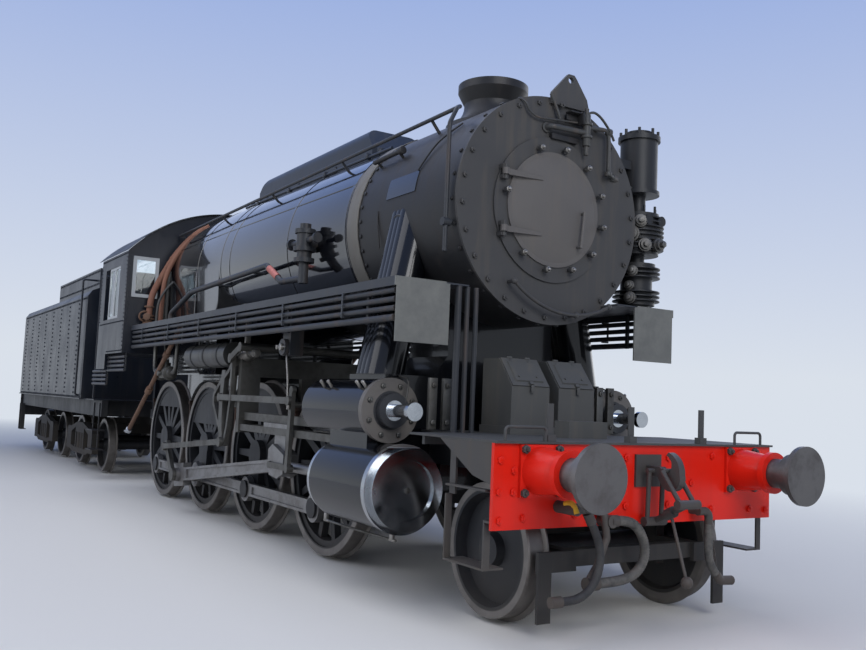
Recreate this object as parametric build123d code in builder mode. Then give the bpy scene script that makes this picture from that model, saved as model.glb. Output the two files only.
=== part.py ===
"""A steam goods locomotive with eight coupled wheels, a two wheeled leading truck
and its eight wheeled tender, built in millimetres.

X runs forward along the track, Y to the left and Z up. The origin is under the
middle of the length over the buffers, level with the tips of the wheel flanges.
"""
import math
import os

from build123d import *

os.makedirs("parts", exist_ok=True)

# Track and wheels
FLANGE_DEPTH = 28
TREAD_RADIUS = 724
SMALL_RADIUS = 419
TYRE_INSIDE = 680
TYRE_OUTSIDE = 820
FLANGE_THICK = 28
AXLE_Z = TREAD_RADIUS + FLANGE_DEPTH
SMALL_AXLE_Z = SMALL_RADIUS + FLANGE_DEPTH
RUNNING_GAP = 0.5
SEAT_GAP = 0.3

# Axle places along the track, from the front
LEAD_DRIVER_X = 5860
DRIVER_PITCH = 1575
DRIVER_COUNT = 4
MAIN_DRIVER = 2
DRIVER_X = [LEAD_DRIVER_X - DRIVER_PITCH * number for number in range(DRIVER_COUNT)]
MAIN_X = DRIVER_X[MAIN_DRIVER]
PONY_X = 8222
PONY_PIVOT_X = 6770
BOGIE_WHEELBASE = 1727
BOGIE_FRONT_X = -3196
BOGIE_REAR_X = -6649

# Driving wheels, right hand crank straight down
HUB_RADIUS = 150
HUB_INSIDE = 660
HUB_OUTSIDE = 840
RIM_INSIDE_RADIUS = 600
AXLE_RADIUS = 105
SPOKE_COUNT = 14
CRANK_RADIUS = 330
CRANK_BOSS_RADIUS = 120
CRANK_PIN_RADIUS = 60
MAIN_PIN_RADIUS = 75
SIDE_ROD_INSIDE = 860
SIDE_ROD_OUTSIDE = 920
SIDE_ROD_HEIGHT = 120
PIN_END = 940

# Cylinders and motion
CYLINDER_Y = 1060
CYLINDER_RADIUS = 296
CYLINDER_BACK_X = 6700
CYLINDER_FRONT_X = 7530
COVER_BACK_X = 6630
REAR_COVER_RADIUS = 280
CHEST_Z = 1280
CHEST_RADIUS = 222
CHEST_BACK_X = 6340
CHEST_FRONT_X = 7300
ROD_LENGTH = 2800
MAIN_ROD_INSIDE = 1015
MAIN_ROD_OUTSIDE = 1105
OPEN_PIVOT_GAP = 8
BIG_END_PIN_OUT = 1150

# Frames
FRAME_INSIDE = 530
FRAME_THICK = 100
FRAME_OUTSIDE = FRAME_INSIDE + FRAME_THICK
FRAME_TOP = 1080
FRAME_REAR_X = -350
JAW_HALF = 170
JAW_LEG = 60

# Ends of the engine
BUFFER_FACE = 9295
BUFFER_Y = 870
BUFFER_Z = 982
BUFFER_HEAD_RADIUS = 188
BEAM_FRONT_X = 8771
BEAM_THICK = 25
BEAM_HALF_WIDTH = 1194
BEAM_BOTTOM = 651
DECK_TOP = 1150
DECK_THICK = 13
BEAM_BACK_X = BEAM_FRONT_X - BEAM_THICK
DECK_BOTTOM = DECK_TOP - DECK_THICK

# Boiler
BOILER_Z = 2800
SMOKEBOX_RADIUS = 850
SMOKEBOX_WALL = 12
SMOKEBOX_BACK_X = 6100
SMOKEBOX_FRONT_X = 7760
FRONT_PLATE = 20
DOOR_RADIUS = 428
DOOR_HOLE_RADIUS = 360
DOOR_THICK = 24
DOOR_RING_RADIUS = 540
DOOR_RING_THICK = 16
DOOR_PIN_Y = -475
BARREL_FRONT_RADIUS = 856
BARREL_BACK_RADIUS = 885
FIREBOX_FRONT_X = 3000
FIREBOX_BACK_X = 936
FIREBOX_BOTTOM = 1560
FIREBOX_FOOT_HALF = 850
CHIMNEY_X = 6960

# Running boards
BOARD_TOP = 2172
BOARD_THICK = 12
BOARD_EDGE = 1300
BOARD_LIP = 62
BOARD_FRONT_X = 7760
BOARD_BOTTOM = BOARD_TOP - BOARD_THICK

# Cab
CAB_FRONT_X = 930
CAB_BACK_X = -500
CAB_HALF = 1400
CAB_PLATE = 8
CAB_BOTTOM = 1820
CAB_STEP_BOTTOM = 1615
CAB_STEP_X = 10
EAVES_Z = 3150
ROOF_RISE = 640
ROOF_PLATE = 8
ROOF_OVERHANG = 12
SIDE_WINDOW_X = (-250, 560)
SIDE_WINDOW_Z = (2290, 2990)
FRONT_WINDOW_Y = (1010, 1320)
FRONT_WINDOW_Z = (2560, 3075)

# Tender
DRAWBAR_X = -650
TANK_FRONT_X = -1830
TANK_BACK_X = -8000
TANK_HALF = 1310
TANK_BOTTOM = 1170
TANK_SIDE_TOP = 2780
TANK_TOP = 2920
COPING_SLOPE = 170
BUNKER_HALF = 1150
BUNKER_TOP = 3230
BUNKER_BACK_X = -5180
SOLEBAR_HALF = 1150
SOLEBAR_DEPTH = 240
SOLEBAR_FRONT_X = -1100
SOLEBAR_BOTTOM = TANK_BOTTOM - SOLEBAR_DEPTH
TENDER_BEAM_X = -8675


def block(x, y, z, mode=Mode.ADD):
    """A plain block between pairs of limits, in the part being built."""
    with Locations((sum(x) / 2, sum(y) / 2, sum(z) / 2)):
        Box(abs(x[1] - x[0]), abs(y[1] - y[0]), abs(z[1] - z[0]), mode=mode)


def drum(start, end, radius, mode=Mode.ADD):
    """A round bar between two points, in the part being built."""
    line = Vector(*end) - Vector(*start)
    with Locations(Location(Plane(origin=start, z_dir=line))):
        Cylinder(radius, line.length, align=(Align.CENTER, Align.CENTER, Align.MIN), mode=mode)


def pipe(points, radius, bend):
    """A round pipe of straight runs joined by equal bends."""
    with BuildPart() as run:
        with BuildLine() as route:
            FilletPolyline(*points, radius=bend)
        first = Vector(*points[1]) - Vector(*points[0])
        with BuildSketch(Plane(origin=points[0], z_dir=first)):
            Circle(radius)
        sweep(path=route.wires()[0])
    return run.part


def boiler_envelope(gap):
    """The round outside of smokebox and barrel, used to seat what stands on it."""
    with BuildPart() as envelope:
        drum((SMOKEBOX_BACK_X, 0, BOILER_Z), (BOARD_FRONT_X, 0, BOILER_Z), SMOKEBOX_RADIUS + gap)
        with BuildSketch(Plane.XY.offset(BOILER_Z)):
            with BuildLine():
                Polyline(
                    (FIREBOX_FRONT_X, 0),
                    (SMOKEBOX_BACK_X, 0),
                    (SMOKEBOX_BACK_X, BARREL_FRONT_RADIUS + gap),
                    (FIREBOX_FRONT_X, BARREL_BACK_RADIUS + gap),
                    close=True,
                )
            make_face()
        revolve(axis=Axis((0, 0, BOILER_Z), (1, 0, 0)))
        drum((FIREBOX_BACK_X, 0, BOILER_Z), (FIREBOX_FRONT_X, 0, BOILER_Z), BARREL_BACK_RADIUS + gap)
    return envelope.part


BOILER_SEAT = boiler_envelope(SEAT_GAP)

# Bar frames with a jaw for each driving axle, tied together across the engine
TIE_X = [(front + back) / 2 for front, back in zip(DRIVER_X, DRIVER_X[1:])]
TIE_HALF = 15
with BuildPart() as main_frames:
    with BuildSketch(Plane.XZ.offset(FRAME_INSIDE)):
        rail_front = DRIVER_X[0] + JAW_HALF + JAW_LEG
        rail_back = DRIVER_X[-1] - JAW_HALF - JAW_LEG
        with Locations(((FRAME_REAR_X + rail_front) / 2, FRAME_TOP - 65)):
            Rectangle(rail_front - FRAME_REAR_X, 130)
        with Locations(((rail_front + BEAM_BACK_X) / 2, FRAME_TOP - 87)):
            Rectangle(BEAM_BACK_X - rail_front, 174)
        with Locations(((rail_back + rail_front) / 2, 475)):
            Rectangle(rail_front - rail_back, 90)
        for axle in DRIVER_X:
            for jaw in (-1, 1):
                with Locations((axle + jaw * (JAW_HALF + JAW_LEG / 2), 715)):
                    Rectangle(JAW_LEG, 490)
    extrude(amount=FRAME_THICK)
    mirror(about=Plane.XZ)
    for tie in TIE_X:
        block((tie - TIE_HALF, tie + TIE_HALF), (-FRAME_INSIDE, FRAME_INSIDE), (430, FRAME_TOP))
    block((FRAME_REAR_X, FRAME_REAR_X + 300), (-FRAME_INSIDE, FRAME_INSIDE), (950, FRAME_TOP))
    block((PONY_PIVOT_X - 90, PONY_PIVOT_X + 90), (-520, 520), (560, 700))
    drum((PONY_PIVOT_X, 0, 560), (PONY_PIVOT_X, 0, 400), 40)
    drum((PONY_PIVOT_X, 0, 400), (PONY_PIVOT_X, 0, 385), 70)
    # Drawbar eye for the tender
    block((DRAWBAR_X, FRAME_REAR_X), (-150, 150), (960, 1010))
    drum((DRAWBAR_X, 0, 960), (DRAWBAR_X, 0, 1010), 150)
    drum((DRAWBAR_X, 0, 1010), (DRAWBAR_X, 0, 1180), 45)
main_frames.part.label = "main_frames"
export_step(main_frames.part, "parts/main_frames.step")

# Axle boxes in the jaws, and the leaf springs that stand on the frames above them
LEAVES = ((450, 1172), (370, 1158), (290, 1144), (210, 1130), (130, 1116))
LEAF_THICK = 14
with BuildPart() as spring_gear:
    for axle in DRIVER_X:
        block((axle - JAW_HALF, axle + JAW_HALF), (-645, -520), (AXLE_Z - 180, AXLE_Z + 180))
        drum((axle, -700, AXLE_Z), (axle, -500, AXLE_Z), AXLE_RADIUS + RUNNING_GAP, Mode.SUBTRACT)
        block((axle - 60, axle + 60), (-630, -540), (FRAME_TOP, 1200))
        for half_length, level in LEAVES:
            block((axle - half_length, axle + half_length), (-630, -540), (level, level + LEAF_THICK))
        for end in (-1, 1):
            block((axle + end * 420 - 20, axle + end * 420 + 20), (-600, -570), (FRAME_TOP, 1172))
    mirror(about=Plane.XZ)
spring_gear.part.label = "spring_gear"
export_step(spring_gear.part, "parts/spring_gear.step")

# Red buffer beam
with BuildPart() as buffer_beam:
    block((BEAM_BACK_X, BEAM_FRONT_X), (-BEAM_HALF_WIDTH, BEAM_HALF_WIDTH), (BEAM_BOTTOM, DECK_BOTTOM))
    block((BEAM_BACK_X - 20, BEAM_FRONT_X + 20), (-60, 60), (900, 1060), Mode.SUBTRACT)
buffer_beam.part.label = "buffer_beam"
export_step(buffer_beam.part, "parts/buffer_beam.step")

# Deck over the leading truck, with lamp irons and hand loops
DECK_BACK_X = 7250
DECK_WIDE_X = 7790
DECK_NARROW_HALF = 740
LAMP_IRON_Y = (-790, -137, 500)
LOOP_Y = ((-1121, -825), (825, 1092))
LOOP_TOP = 1231
HAND_LOOPS = [
    pipe(
        [(8770, low, DECK_TOP - 2), (8770, low, LOOP_TOP), (8770, high, LOOP_TOP), (8770, high, DECK_TOP - 2)],
        9,
        25,
    )
    for low, high in LOOP_Y
]
with BuildPart() as front_platform:
    with BuildSketch(Plane.XY.offset(DECK_BOTTOM)):
        with BuildLine():
            Polyline(
                (DECK_BACK_X, DECK_NARROW_HALF),
                (DECK_WIDE_X - 80, DECK_NARROW_HALF),
                (DECK_WIDE_X, BEAM_HALF_WIDTH - 30),
                (BEAM_FRONT_X + 25, BEAM_HALF_WIDTH),
                (BEAM_FRONT_X + 25, 0),
                (DECK_BACK_X, 0),
                close=True,
            )
        make_face()
        mirror(about=Plane.XZ)
    extrude(amount=DECK_THICK)
    for iron_y in LAMP_IRON_Y:
        block((8735, 8785), (iron_y - 30, iron_y + 30), (DECK_TOP, DECK_TOP + 40))
        block((8755, 8767), (iron_y - 22, iron_y + 22), (DECK_TOP + 40, 1372))
    for loop in HAND_LOOPS:
        add(loop)
    # Bearers that carry the deck from the frames and beam
    for side in (-1, 1):
        block((8600, BEAM_BACK_X), (side * 1090 - 40, side * 1090 + 40), (900, DECK_BOTTOM))
        block((7900, 7930), (side * 880 - 250, side * 880 + 250), (FRAME_TOP, DECK_BOTTOM))
    block((7900, 7930), (-FRAME_OUTSIDE, FRAME_OUTSIDE), (FRAME_TOP, DECK_BOTTOM))
    block((7280, 7310), (-FRAME_OUTSIDE, FRAME_OUTSIDE), (FRAME_TOP, DECK_BOTTOM))
front_platform.part.label = "front_platform"
export_step(front_platform.part, "parts/front_platform.step")

# Open steps of bent flat bar hung from the deck, and gusset plates behind the beam's ends
STEP_Y = 1150
STEP_BACK_X = 8290
STEP_FRONT_X = 8700
STEP_BAR = 12
STEP_WIDTH = 45
STEP_TREAD_Z = 430
STEP_HANG_Z = 870
STEP_RISE_Z = 700
GUSSET_Y = 1176
with BuildPart() as front_steps:
    block((STEP_BACK_X, STEP_BACK_X + 60), (-STEP_Y - 15, -STEP_Y), (STEP_HANG_Z - 60, DECK_BOTTOM))
    for x_low, x_high, z_low, z_high in (
        # back, front, bottom and top of each straight of the bar
        (STEP_BACK_X, STEP_BACK_X + STEP_BAR, STEP_TREAD_Z, STEP_HANG_Z - 60),
        (STEP_FRONT_X - STEP_BAR, STEP_FRONT_X, STEP_TREAD_Z, STEP_RISE_Z),
        (STEP_BACK_X, STEP_FRONT_X, STEP_HANG_Z - STEP_BAR, STEP_HANG_Z),
    ):
        block((x_low, x_high), (-STEP_Y - STEP_WIDTH, -STEP_Y), (z_low, z_high))
    block(
        (STEP_BACK_X, STEP_FRONT_X),
        (-STEP_Y - STEP_WIDTH, -STEP_Y + 100),
        (STEP_TREAD_Z - STEP_BAR, STEP_TREAD_Z),
    )
    block(
        (STEP_FRONT_X - STEP_BAR, BEAM_BACK_X),
        (-STEP_Y - STEP_WIDTH, -STEP_Y),
        (STEP_RISE_Z - STEP_BAR, STEP_RISE_Z),
    )
    with BuildSketch(Plane.XZ.offset(GUSSET_Y)):
        with BuildLine():
            Polyline(
                (8200, DECK_BOTTOM),
                (BEAM_BACK_X, DECK_BOTTOM),
                (BEAM_BACK_X, 900),
                (8560, 940),
                close=True,
            )
        make_face()
    extrude(amount=STEP_BAR)
    mirror(about=Plane.XZ)
front_steps.part.label = "front_steps"
export_step(front_steps.part, "parts/front_steps.step")

# Buffers: a square flange, a casing that tapers to a collar, then the spindle and head
FLANGE_HALF = 150
FLANGE_PLATE = 22
STOCK_BASE_RADIUS = 140
STOCK_TIP_RADIUS = 112
STOCK_TAPER = 228
COLLAR_RADIUS = 134
COLLAR_WIDTH = 40
STOCK_LENGTH = FLANGE_PLATE + STOCK_TAPER + COLLAR_WIDTH
SPINDLE_RADIUS = 95
HEAD_THICK = 32


def buffer_stock(face_x, toward):
    """A pair of buffer casings with their square flanges against the beam."""
    with BuildPart() as stock:
        for side in (-1, 1):
            centre = side * BUFFER_Y
            base = face_x + toward * FLANGE_PLATE
            tip = base + toward * STOCK_TAPER
            block(
                (face_x, base),
                (centre - FLANGE_HALF, centre + FLANGE_HALF),
                (BUFFER_Z - FLANGE_HALF, BUFFER_Z + FLANGE_HALF),
            )
            with Locations(Location(Plane(origin=(base, centre, BUFFER_Z), z_dir=(toward, 0, 0)))):
                Cone(
                    STOCK_BASE_RADIUS,
                    STOCK_TIP_RADIUS,
                    STOCK_TAPER,
                    align=(Align.CENTER, Align.CENTER, Align.MIN),
                )
            drum((tip, centre, BUFFER_Z), (tip + toward * COLLAR_WIDTH, centre, BUFFER_Z), COLLAR_RADIUS)
    return stock.part


def buffer_head(face_x, toward, stock_tip):
    """A pair of round buffer heads with their spindles and the packing ring behind."""
    with BuildPart() as head:
        for side in (-1, 1):
            centre = side * BUFFER_Y
            back = face_x - toward * HEAD_THICK
            drum((back, centre, BUFFER_Z), (face_x, centre, BUFFER_Z), BUFFER_HEAD_RADIUS)
            drum((stock_tip, centre, BUFFER_Z), (back, centre, BUFFER_Z), SPINDLE_RADIUS)
            drum((back - toward * 90, centre, BUFFER_Z), (back, centre, BUFFER_Z), SPINDLE_RADIUS + 35)
    return head.part


with BuildPart() as front_buffers:
    add(buffer_stock(BEAM_FRONT_X, 1))
front_buffers.part.label = "front_buffers"
export_step(front_buffers.part, "parts/front_buffers.step")

with BuildPart() as front_buffer_heads:
    add(buffer_head(BUFFER_FACE, 1, BEAM_FRONT_X + STOCK_LENGTH))
front_buffer_heads.part.label = "front_buffer_heads"
export_step(front_buffer_heads.part, "parts/front_buffer_heads.step")

# Draw hook and its screw coupling, whose free shackle is hung up on the hook
HOOK_THICK = 50
HOOK_SHANK_Z = (950, 1012)
SHACKLE_Y = 60
SHACKLE_RADIUS = 15
TRUNNION_RADIUS = 28
SCREW_RADIUS = 20
SCREW_BOSS_RADIUS = 34
LEVER_RADIUS = 10
LEVER_BALL_RADIUS = 36
SHANK_PIN = (8850, 985)
LOW_TRUNNION = (8840, 675)
HIGH_TRUNNION = (9107, 805)
MOUTH = (8957, 992)
LEVER_FOOT = (8974, 740)
LEVER_TIP = (9110, 350)


def draw_hook(face_x, toward):
    """The hook's forged outline, standing out of its beam by the given direction."""
    with BuildPart() as hook:
        with BuildSketch(Plane.XZ.offset(-HOOK_THICK / 2)):
            with BuildLine():
                Polyline(
                    (face_x - toward * BEAM_THICK, HOOK_SHANK_Z[0]),
                    (face_x + toward * 110, HOOK_SHANK_Z[0]),
                    (face_x + toward * 150, 900),
                )
                ThreePointArc(
                    (face_x + toward * 150, 900),
                    (face_x + toward * 250, 880),
                    (face_x + toward * 290, 975),
                )
                ThreePointArc(
                    (face_x + toward * 290, 975),
                    (face_x + toward * 270, 1050),
                    (face_x + toward * 200, 1105),
                )
                Polyline((face_x + toward * 200, 1105), (face_x + toward * 180, 1085))
                ThreePointArc(
                    (face_x + toward * 180, 1085),
                    (face_x + toward * 222, 1010),
                    (face_x + toward * 175, 972),
                )
                Polyline(
                    (face_x + toward * 175, 972),
                    (face_x + toward * 130, HOOK_SHANK_Z[1]),
                    (face_x - toward * BEAM_THICK, HOOK_SHANK_Z[1]),
                    (face_x - toward * BEAM_THICK, HOOK_SHANK_Z[0]),
                )
            make_face()
        extrude(amount=HOOK_THICK)
        block((face_x, face_x + toward * 16), (-110, 110), (880, 1080))
    return hook.part


with BuildPart() as front_coupling:
    add(draw_hook(BEAM_FRONT_X, 1))
    drum(
        (SHANK_PIN[0], -SHACKLE_Y - 20, SHANK_PIN[1]),
        (SHANK_PIN[0], SHACKLE_Y + 20, SHANK_PIN[1]),
        SHACKLE_RADIUS,
    )
    drum((MOUTH[0], -SHACKLE_Y, MOUTH[1]), (MOUTH[0], SHACKLE_Y, MOUTH[1]), SHACKLE_RADIUS)
    for side in (-1, 1):
        arm = side * SHACKLE_Y
        drum((SHANK_PIN[0], arm, SHANK_PIN[1]), (LOW_TRUNNION[0], arm, LOW_TRUNNION[1]), SHACKLE_RADIUS)
        drum((MOUTH[0], arm, MOUTH[1]), (HIGH_TRUNNION[0], arm, HIGH_TRUNNION[1]), SHACKLE_RADIUS)
    for place in (LOW_TRUNNION, HIGH_TRUNNION):
        drum((place[0], -90, place[1]), (place[0], 90, place[1]), TRUNNION_RADIUS)
    drum((LOW_TRUNNION[0], 0, LOW_TRUNNION[1]), (HIGH_TRUNNION[0], 0, HIGH_TRUNNION[1]), SCREW_RADIUS)
    drum((LEVER_FOOT[0], 0, LEVER_FOOT[1]), (LEVER_TIP[0], 0, LEVER_TIP[1]), LEVER_RADIUS)
    with Locations((LEVER_TIP[0], 0, LEVER_TIP[1])):
        Sphere(LEVER_BALL_RADIUS)
    boss = (LEVER_FOOT[0] - 30, 0, LEVER_FOOT[1] - 15)
    drum(boss, (LEVER_FOOT[0] + 30, 0, LEVER_FOOT[1] + 14), SCREW_BOSS_RADIUS)
front_coupling.part.label = "front_coupling"
export_step(front_coupling.part, "parts/front_coupling.step")

# Pipes and cocks on the beam that the hoses hang from, with the heads at the hoses' ends
HOSE_X = 8850
STEAM_HOSE_RADIUS = 31
BRAKE_HOSE_RADIUS = 25
RIGHT_HOSE_RADIUS = 28
STEAM_START = (-322, 688)
STEAM_END = (-470, 330)
BRAKE_START = (-592, 691)
BRAKE_UNION = (-628, 752)
BRAKE_END = (-810, 266)
RIGHT_START = (484, 640)
RIGHT_END = (560, 320)
BRAKE_SHIFT = 75
STEAM_ELBOW_Y = -380
COCK_Z = 775


def at_hose(place, shift=0):
    """A point in the plane that the hoses hang in."""
    return (HOSE_X + shift, place[0], place[1])


def clear_of(end, ahead):
    """The point just off a hose's end, on the way to the next one."""
    run = math.hypot(ahead[0] - end[0], ahead[1] - end[1])
    share = SEAT_GAP / run
    return (end[0] + share * (ahead[0] - end[0]), end[1] + share * (ahead[1] - end[1]))


with BuildPart() as hose_fittings:
    # Steam heating: elbow on the beam, steel drop pipe and the coupling head on its foot
    drum((BEAM_FRONT_X, STEAM_ELBOW_Y, STEAM_START[1]), (HOSE_X + 30, STEAM_ELBOW_Y, STEAM_START[1]), 38)
    drum((HOSE_X, STEAM_ELBOW_Y, STEAM_START[1]), at_hose((STEAM_START[0] - SEAT_GAP, STEAM_START[1])), 36)
    add(
        pipe(
            [(BEAM_FRONT_X, -429, 740), at_hose((-429, 740)), at_hose((-402, 590)), at_hose((-470, 440)), at_hose((-540, 345))],
            22,
            30,
        ),
    )
    drum(at_hose((-560, 330)), at_hose((STEAM_END[0] - SEAT_GAP, STEAM_END[1])), 40)
    # Brake pipe: cock body on the beam with the union that the hose hangs from, and its head
    drum((BEAM_FRONT_X, -720, COCK_Z), (HOSE_X + BRAKE_SHIFT + 20, -720, COCK_Z), 36)
    drum(at_hose((-720, COCK_Z), BRAKE_SHIFT), at_hose((-600, COCK_Z), BRAKE_SHIFT), 28)
    drum(at_hose(clear_of(BRAKE_START, BRAKE_UNION), BRAKE_SHIFT), at_hose(BRAKE_UNION, BRAKE_SHIFT), 30)
    brake_head = at_hose((BRAKE_END[0] - SEAT_GAP, BRAKE_END[1]), BRAKE_SHIFT)
    drum(brake_head, at_hose((BRAKE_END[0] - 75, BRAKE_END[1]), BRAKE_SHIFT), 32)
    # Pipe on the left with its elbow, and the open head below
    drum((BEAM_FRONT_X, 405, 725), (HOSE_X, 405, 725), 26)
    add(pipe([at_hose((380, 725)), at_hose((484, 725)), at_hose((484, RIGHT_START[1] + SEAT_GAP))], 27, 45))
    add(
        pipe(
            [at_hose(clear_of(RIGHT_END, (600, 276.4))), at_hose((600, 276.4)), at_hose((712, 270))],
            30,
            50,
        ),
    )
hose_fittings.part.label = "hose_fittings"
export_step(hose_fittings.part, "parts/hose_fittings.step")


def hose(places, radius, shift):
    """A hose hanging across the beam, with arcs as large as its runs allow."""
    route = [Vector(*at_hose(place, shift)) for place in places]
    runs = [(ahead - behind).length for behind, ahead in zip(route, route[1:])]
    radii = []
    for number in range(1, len(route) - 1):
        turn = (route[number] - route[number - 1]).get_angle(route[number + 1] - route[number])
        radii.append(0.45 * min(runs[number - 1], runs[number]) / math.tan(math.radians(turn / 2)))
    print("hose radii", [round(value) for value in radii], "of diameter", 2 * radius)
    with BuildPart() as tube:
        with BuildLine() as line:
            FilletPolyline(*route, radius=radii)
        with BuildSketch(Plane(origin=route[0], z_dir=route[1] - route[0])):
            Circle(radius)
        sweep(path=line.wires()[0])
    section = math.pi * radius ** 2 * line.wires()[0].length
    print("hose volume over section times length", round(tube.part.volume / section, 4))
    return tube.part


STEAM_HOSE_ROUTE = (
    # across, up
    STEAM_START,
    (-242, 688),
    (-165, 656),
    (-110, 592),
    (-80, 510),
    (-96, 430),
    (-152, 372),
    (-232, 343),
    (-315, 333),
    (-393, 330),
    STEAM_END,
)
BRAKE_HOSE_ROUTE = (
    # across, up
    BRAKE_START,
    (-550, 620),
    (-522, 540),
    (-520, 455),
    (-546, 374),
    (-600, 310),
    (-676, 274),
    (-745, 266),
    BRAKE_END,
)
RIGHT_HOSE_ROUTE = (
    # across, up
    RIGHT_START,
    (484, 550),
    (487, 460),
    (505, 380),
    RIGHT_END,
)

with BuildPart() as hose_steam:
    add(hose(STEAM_HOSE_ROUTE, STEAM_HOSE_RADIUS, 0))
hose_steam.part.label = "hose_steam"
export_step(hose_steam.part, "parts/hose_steam.step")

with BuildPart() as hose_brake:
    add(hose(BRAKE_HOSE_ROUTE, BRAKE_HOSE_RADIUS, BRAKE_SHIFT))
hose_brake.part.label = "hose_brake"
export_step(hose_brake.part, "parts/hose_brake.step")

with BuildPart() as hose_left_side:
    add(hose(RIGHT_HOSE_ROUTE, RIGHT_HOSE_RADIUS, 0))
hose_left_side.part.label = "hose_left_side"
export_step(hose_left_side.part, "parts/hose_left_side.step")

# Cylinder castings with their valve chests, joined under the smokebox by the saddle
SADDLE_FRONT_X = 7200
SADDLE_BACK_X = 6640
with BuildPart() as cylinders:
    for side in (-1, 1):
        centre = side * CYLINDER_Y
        drum((CYLINDER_BACK_X, centre, AXLE_Z), (CYLINDER_FRONT_X, centre, AXLE_Z), CYLINDER_RADIUS)
        drum((CHEST_BACK_X, centre, CHEST_Z), (CHEST_FRONT_X, centre, CHEST_Z), CHEST_RADIUS)
        block((CYLINDER_BACK_X + 20, CHEST_FRONT_X), (centre - 150, centre + 150), (950, 1150))
    with BuildSketch(Plane.YZ.offset(SADDLE_BACK_X)):
        with BuildLine():
            Polyline(
                (0, 700),
                (FRAME_INSIDE, 700),
                (FRAME_INSIDE, FRAME_TOP),
                (FRAME_OUTSIDE, FRAME_TOP),
                (FRAME_OUTSIDE, 700),
                (CYLINDER_Y - 200, 700),
                (CYLINDER_Y - 200, 1000),
                (CYLINDER_Y - 30, 1100),
                (CYLINDER_Y - 30, 1540),
                (620, 1540),
                (500, 1700),
                (480, 2300),
                (0, 2300),
                close=True,
            )
        make_face()
        mirror(about=Plane.YZ)
    extrude(amount=SADDLE_FRONT_X - SADDLE_BACK_X)
    for side in (-1, 1):
        back = (SADDLE_BACK_X - 1, side * CYLINDER_Y, AXLE_Z)
        drum(back, (CYLINDER_BACK_X, side * CYLINDER_Y, AXLE_Z), REAR_COVER_RADIUS + SEAT_GAP, Mode.SUBTRACT)
    add(BOILER_SEAT, mode=Mode.SUBTRACT)
cylinders.part.label = "cylinders"
export_step(cylinders.part, "parts/cylinders.step")

# Cylinder and valve chest covers
COVER_RING = 45
COVER_RING_RADIUS = 305
COVER_STEP = 60
COVER_STEP_RADIUS = 275
COVER_DISH_RADIUS = 205
COVER_DISH = 22
CHEST_COVER = 50
CHEST_COVER_RADIUS = 230
TAIL_ROD_RADIUS = 45
TAIL_ROD_END_X = 7640
with BuildPart() as cylinder_covers:
    for side in (-1, 1):
        centre = side * CYLINDER_Y
        ring_end = CYLINDER_FRONT_X + COVER_RING
        step_end = ring_end + COVER_STEP
        chest_end = CHEST_FRONT_X + CHEST_COVER
        drum((CYLINDER_FRONT_X, centre, AXLE_Z), (ring_end, centre, AXLE_Z), COVER_RING_RADIUS)
        drum((ring_end, centre, AXLE_Z), (step_end, centre, AXLE_Z), COVER_STEP_RADIUS)
        drum(
            (step_end - COVER_DISH, centre, AXLE_Z),
            (step_end + 1, centre, AXLE_Z),
            COVER_DISH_RADIUS,
            Mode.SUBTRACT,
        )
        drum((COVER_BACK_X, centre, AXLE_Z), (CYLINDER_BACK_X, centre, AXLE_Z), REAR_COVER_RADIUS)
        drum((CHEST_FRONT_X, centre, CHEST_Z), (chest_end, centre, CHEST_Z), CHEST_COVER_RADIUS)
        drum((chest_end, centre, CHEST_Z), (chest_end + 60, centre, CHEST_Z), 120)
        drum((chest_end + 60, centre, CHEST_Z), (TAIL_ROD_END_X, centre, CHEST_Z), TAIL_ROD_RADIUS)
        drum((TAIL_ROD_END_X, centre, CHEST_Z), (TAIL_ROD_END_X + 40, centre, CHEST_Z), TAIL_ROD_RADIUS + 18)
        drum((CHEST_BACK_X - 40, centre, CHEST_Z), (CHEST_BACK_X, centre, CHEST_Z), 200)
cylinder_covers.part.label = "cylinder_covers"
export_step(cylinder_covers.part, "parts/cylinder_covers.step")

# Smokebox shell, front plate and lifting lug
FRONT_INSIDE_X = SMOKEBOX_FRONT_X - FRONT_PLATE
CHIMNEY_BORE = 200
LUG_Y = 130
LUG_THICK = 28
LUG_OUTLINE = (
    # across and up from the lug's middle and the boiler's centre
    (-185, 800),
    (-178, 890),
    (-52, 1030),
    (-28, 1055),
    (28, 1055),
    (52, 1030),
    (160, 890),
    (185, 800),
)
with BuildPart() as smokebox:
    drum((SMOKEBOX_BACK_X, 0, BOILER_Z), (FRONT_INSIDE_X, 0, BOILER_Z), SMOKEBOX_RADIUS)
    drum(
        (SMOKEBOX_BACK_X + 30, 0, BOILER_Z),
        (FRONT_INSIDE_X + 1, 0, BOILER_Z),
        SMOKEBOX_RADIUS - SMOKEBOX_WALL,
        Mode.SUBTRACT,
    )
    drum((CHIMNEY_X, 0, BOILER_Z + 700), (CHIMNEY_X, 0, BOILER_Z + 900), CHIMNEY_BORE, Mode.SUBTRACT)
    drum((CHIMNEY_X, 0, BOILER_Z - 836), (CHIMNEY_X, 0, BOILER_Z - 100), 110)
smokebox.part.label = "smokebox"
export_step(smokebox.part, "parts/smokebox.step")

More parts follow.
